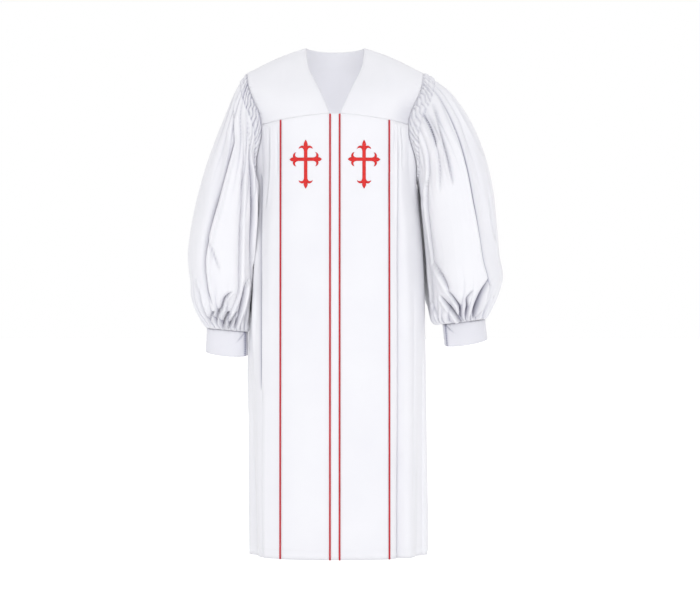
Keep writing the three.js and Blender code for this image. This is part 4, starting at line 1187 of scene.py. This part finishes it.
def cross_arm(long, bud):
    """Half an arm's outline, from the bar's corner to the tip: (along the arm, across it)."""
    bar, leaf = CROSS["half_bar"], long - bud
    line = [np.array([(far, bar) for far in np.arange(bar, leaf - 14, 3)] + [(leaf - 14, bar)], float)]
    curves = (
        ((leaf - 7, bar + 1), (leaf - 6, 10)),
        ((leaf - 5.5, 15), (leaf - 9, 18.5)),
        ((leaf - 2, 18), (leaf, 11)),
        ((leaf + 1, 6), (leaf - 2, bar)),
        ((leaf + 0.3 * bud, 7.5), (long, 0)),
    )
    for through, end in curves:
        line.append(quadratic(line[-1][-1], through, end))
    return np.concatenate(line)


def cross_outline():
    """The closed outline of a cross, anticlockwise from its right arm: x to the right, y up."""
    outline = []
    for arm, (ax, ay) in zip(CROSS_ARMS, ((1, 0), (0, 1), (-1, 0), (0, -1))):
        half = cross_arm(**arm)
        lower = half * (1, -1)
        whole = np.concatenate([lower[:-1], half[::-1]])
        outline.append(whole[:-1, :1] * (ax, ay) + whole[:-1, 1:] * (-ay, ax))
    return np.concatenate(outline)


def distance_to_outline(points, outline):
    a, b = outline, np.roll(outline, -1, 0)
    edge = b - a
    apart = points[:, None] - a[None]
    share = np.clip((apart * edge).sum(-1) / np.maximum((edge**2).sum(-1), 1e-9), 0, 1)
    return np.linalg.norm(apart - share[..., None] * edge, axis=-1).min(1)


def cross(side):
    """A cross in padded satin stitch, on a front panel."""
    outline = cross_outline()
    pitch = 1.1
    (left, low), (right, high) = outline.min(0) - 1, outline.max(0) + 1
    x, y = np.meshgrid(np.arange(left, right, pitch), np.arange(low, high, pitch * 0.87))
    x = x + (np.arange(x.shape[0]) % 2)[:, None] * pitch / 2
    spots = np.stack([x, y], -1).reshape(-1, 2)
    spots = spots[distance_to_outline(spots, outline) > pitch * 0.6]
    points = np.concatenate([outline, spots])
    edges = [(i, (i + 1) % len(outline)) for i in range(len(outline))]
    flat, _, triangles, *_ = delaunay_2d_cdt([tuple(map(float, p)) for p in points], edges, [], 1, 1e-4)
    flat = np.array([tuple(p) for p in flat])
    used = sorted({corner for triangle in triangles for corner in triangle})
    order = {old: new for new, old in enumerate(used)}
    triangles = np.array([[order[corner] for corner in triangle] for triangle in triangles])
    flat = flat[used]
    inside = distance_to_outline(flat, outline)
    dome = CROSS["thick"] * np.sqrt(1 - (1 - np.clip(inside / 2.6, 0, 1)) ** 2)

    def placed(height):
        z = CROSS["z"] + flat[:, 1]
        angle = line_angle(side, CROSS["x"] + side * flat[:, 0], 1, z)
        out = fluting(angle, z, V_BOTTOM_Z) + body_creasing(angle, z, V_BOTTOM_Z)[0]
        return body_point(angle, z) + body_normal(angle, z) * (out + height)[:, None]

    on_rim = inside < 1e-3
    under = np.where(on_rim, np.arange(len(flat)), np.arange(len(flat)) + len(flat))
    faces = np.concatenate([triangles, under[triangles][:, ::-1]])
    node = "cross_" + SIDE_NAMES[side]
    points = np.concatenate([placed(LAY + dome), placed(np.full(len(flat), LAY * 0.5))])
    piece = add_mesh(node + "_stitched", points, faces, THREAD, node)
    upright = np.abs(flat[:, 0]) < np.abs(flat[:, 1])
    u = np.where(upright, flat[:, 1], flat[:, 0]) * MM
    v = np.where(upright, flat[:, 0], flat[:, 1]) * MM
    set_uv(piece, np.tile(u, 2), np.tile(v, 2))


def main():
    yoke_back()
    placket()
    for side in (-1, 1):
        yoke_front(side)
        front_panel(side)
        front_side(side)
        back_half(side)
        sleeve(side)
        cuff(side)
        piping("inner", side, PLACKET_HALF)
        piping("outer", side, PANEL_EDGE)
        cross(side)


# ---- Stage ----


FRONT_DIM = 0.2  # how bright the surroundings are in front, against white behind
FLOOR = dict(half=30.0, z=-1.5)  # in metres


def studio_world():
    """Light from behind the robe and overhead, dimmer from the front, where the main lamp gives the light.

    The background itself is white all round.
    """
    world = bpy.data.worlds.new("white_studio")
    world.use_nodes = True
    tree = world.node_tree
    parts = add_node(tree, "ShaderNodeSeparateXYZ")
    tree.links.new(add_node(tree, "ShaderNodeTexCoord").outputs["Generated"], parts.inputs["Vector"])
    front_to_back = add_node(
        tree, "ShaderNodeMapRange", interpolation_type="SMOOTHSTEP",
        From_Min=-0.5, From_Max=0.15, To_Min=FRONT_DIM, To_Max=1.0,
    )
    tree.links.new(parts.outputs["Y"], front_to_back.inputs["Value"])
    seen = add_node(tree, "ShaderNodeLightPath")
    strength = add_node(tree, "ShaderNodeMath", operation="MAXIMUM")
    tree.links.new(front_to_back.outputs["Result"], strength.inputs[0])
    tree.links.new(seen.outputs["Is Camera Ray"], strength.inputs[1])
    tree.links.new(strength.outputs[0], tree.nodes["Background"].inputs["Strength"])
    tree.nodes["Background"].inputs["Color"].default_value = (1, 1, 1, 1)
    return world


def lamp(name, kind, place, target, power, **settings):
    light = bpy.data.lights.new(name, kind)
    light.energy = power
    for key, value in settings.items():
        setattr(light, key, value)
    holder = bpy.data.objects.new(name, light)
    holder.location = place
    holder.rotation_euler = (Vector(target) - Vector(place)).to_track_quat("-Z", "Y").to_euler()
    bpy.context.scene.collection.objects.link(holder)
    return holder


def stage():
    """White all round, a pale floor well below the hem, and soft light from the front."""
    scene = bpy.context.scene
    scene.view_settings.view_transform = "Standard"
    scene.world = studio_world()

    floor_mesh = bpy.data.meshes.new("floor")
    half, z = FLOOR["half"], FLOOR["z"]
    corners = [(-half, -half, z), (half, -half, z), (half, half, z), (-half, half, z)]
    floor_mesh.from_pydata(corners, [], [(0, 1, 2, 3)])
    floor = bpy.data.objects.new("floor", floor_mesh)
    scene.collection.objects.link(floor)
    material, _, shader = node_material("white_floor")
    set_node(
        shader, Base_Color=(0.9, 0.9, 0.9, 1), Roughness=0.9,
        Emission_Color=(1, 1, 1, 1), Emission_Strength=0.3,
    )
    floor_mesh.materials.append(material)

    lamp("key", "SUN", (0.35, -4.4, 2.0), (0, 0, 0), 2.09, angle=1.4)
    lamp("side", "AREA", (-2.6, -3.0, 0.4), (0, 0, -0.7), 3, size=1.6)
    lamp("inside", "AREA", (0, 0, -0.36), (0, 0.1, 0), 0.43, shape="DISK", size=0.2).visible_camera = False


def camera():
    """The photograph's view: level, straight onto the front, a little to the wearer's left."""
    lens = bpy.data.cameras.new("camera")
    lens.lens = 92.45
    lens.sensor_width = 36
    view = bpy.data.objects.new("camera", lens)
    view.location = (0.0394, -4.8, -0.6508)
    view.rotation_euler = (np.pi / 2, 0, 0)
    bpy.context.scene.collection.objects.link(view)
    bpy.context.scene.camera = view


camera()
stage()
main()
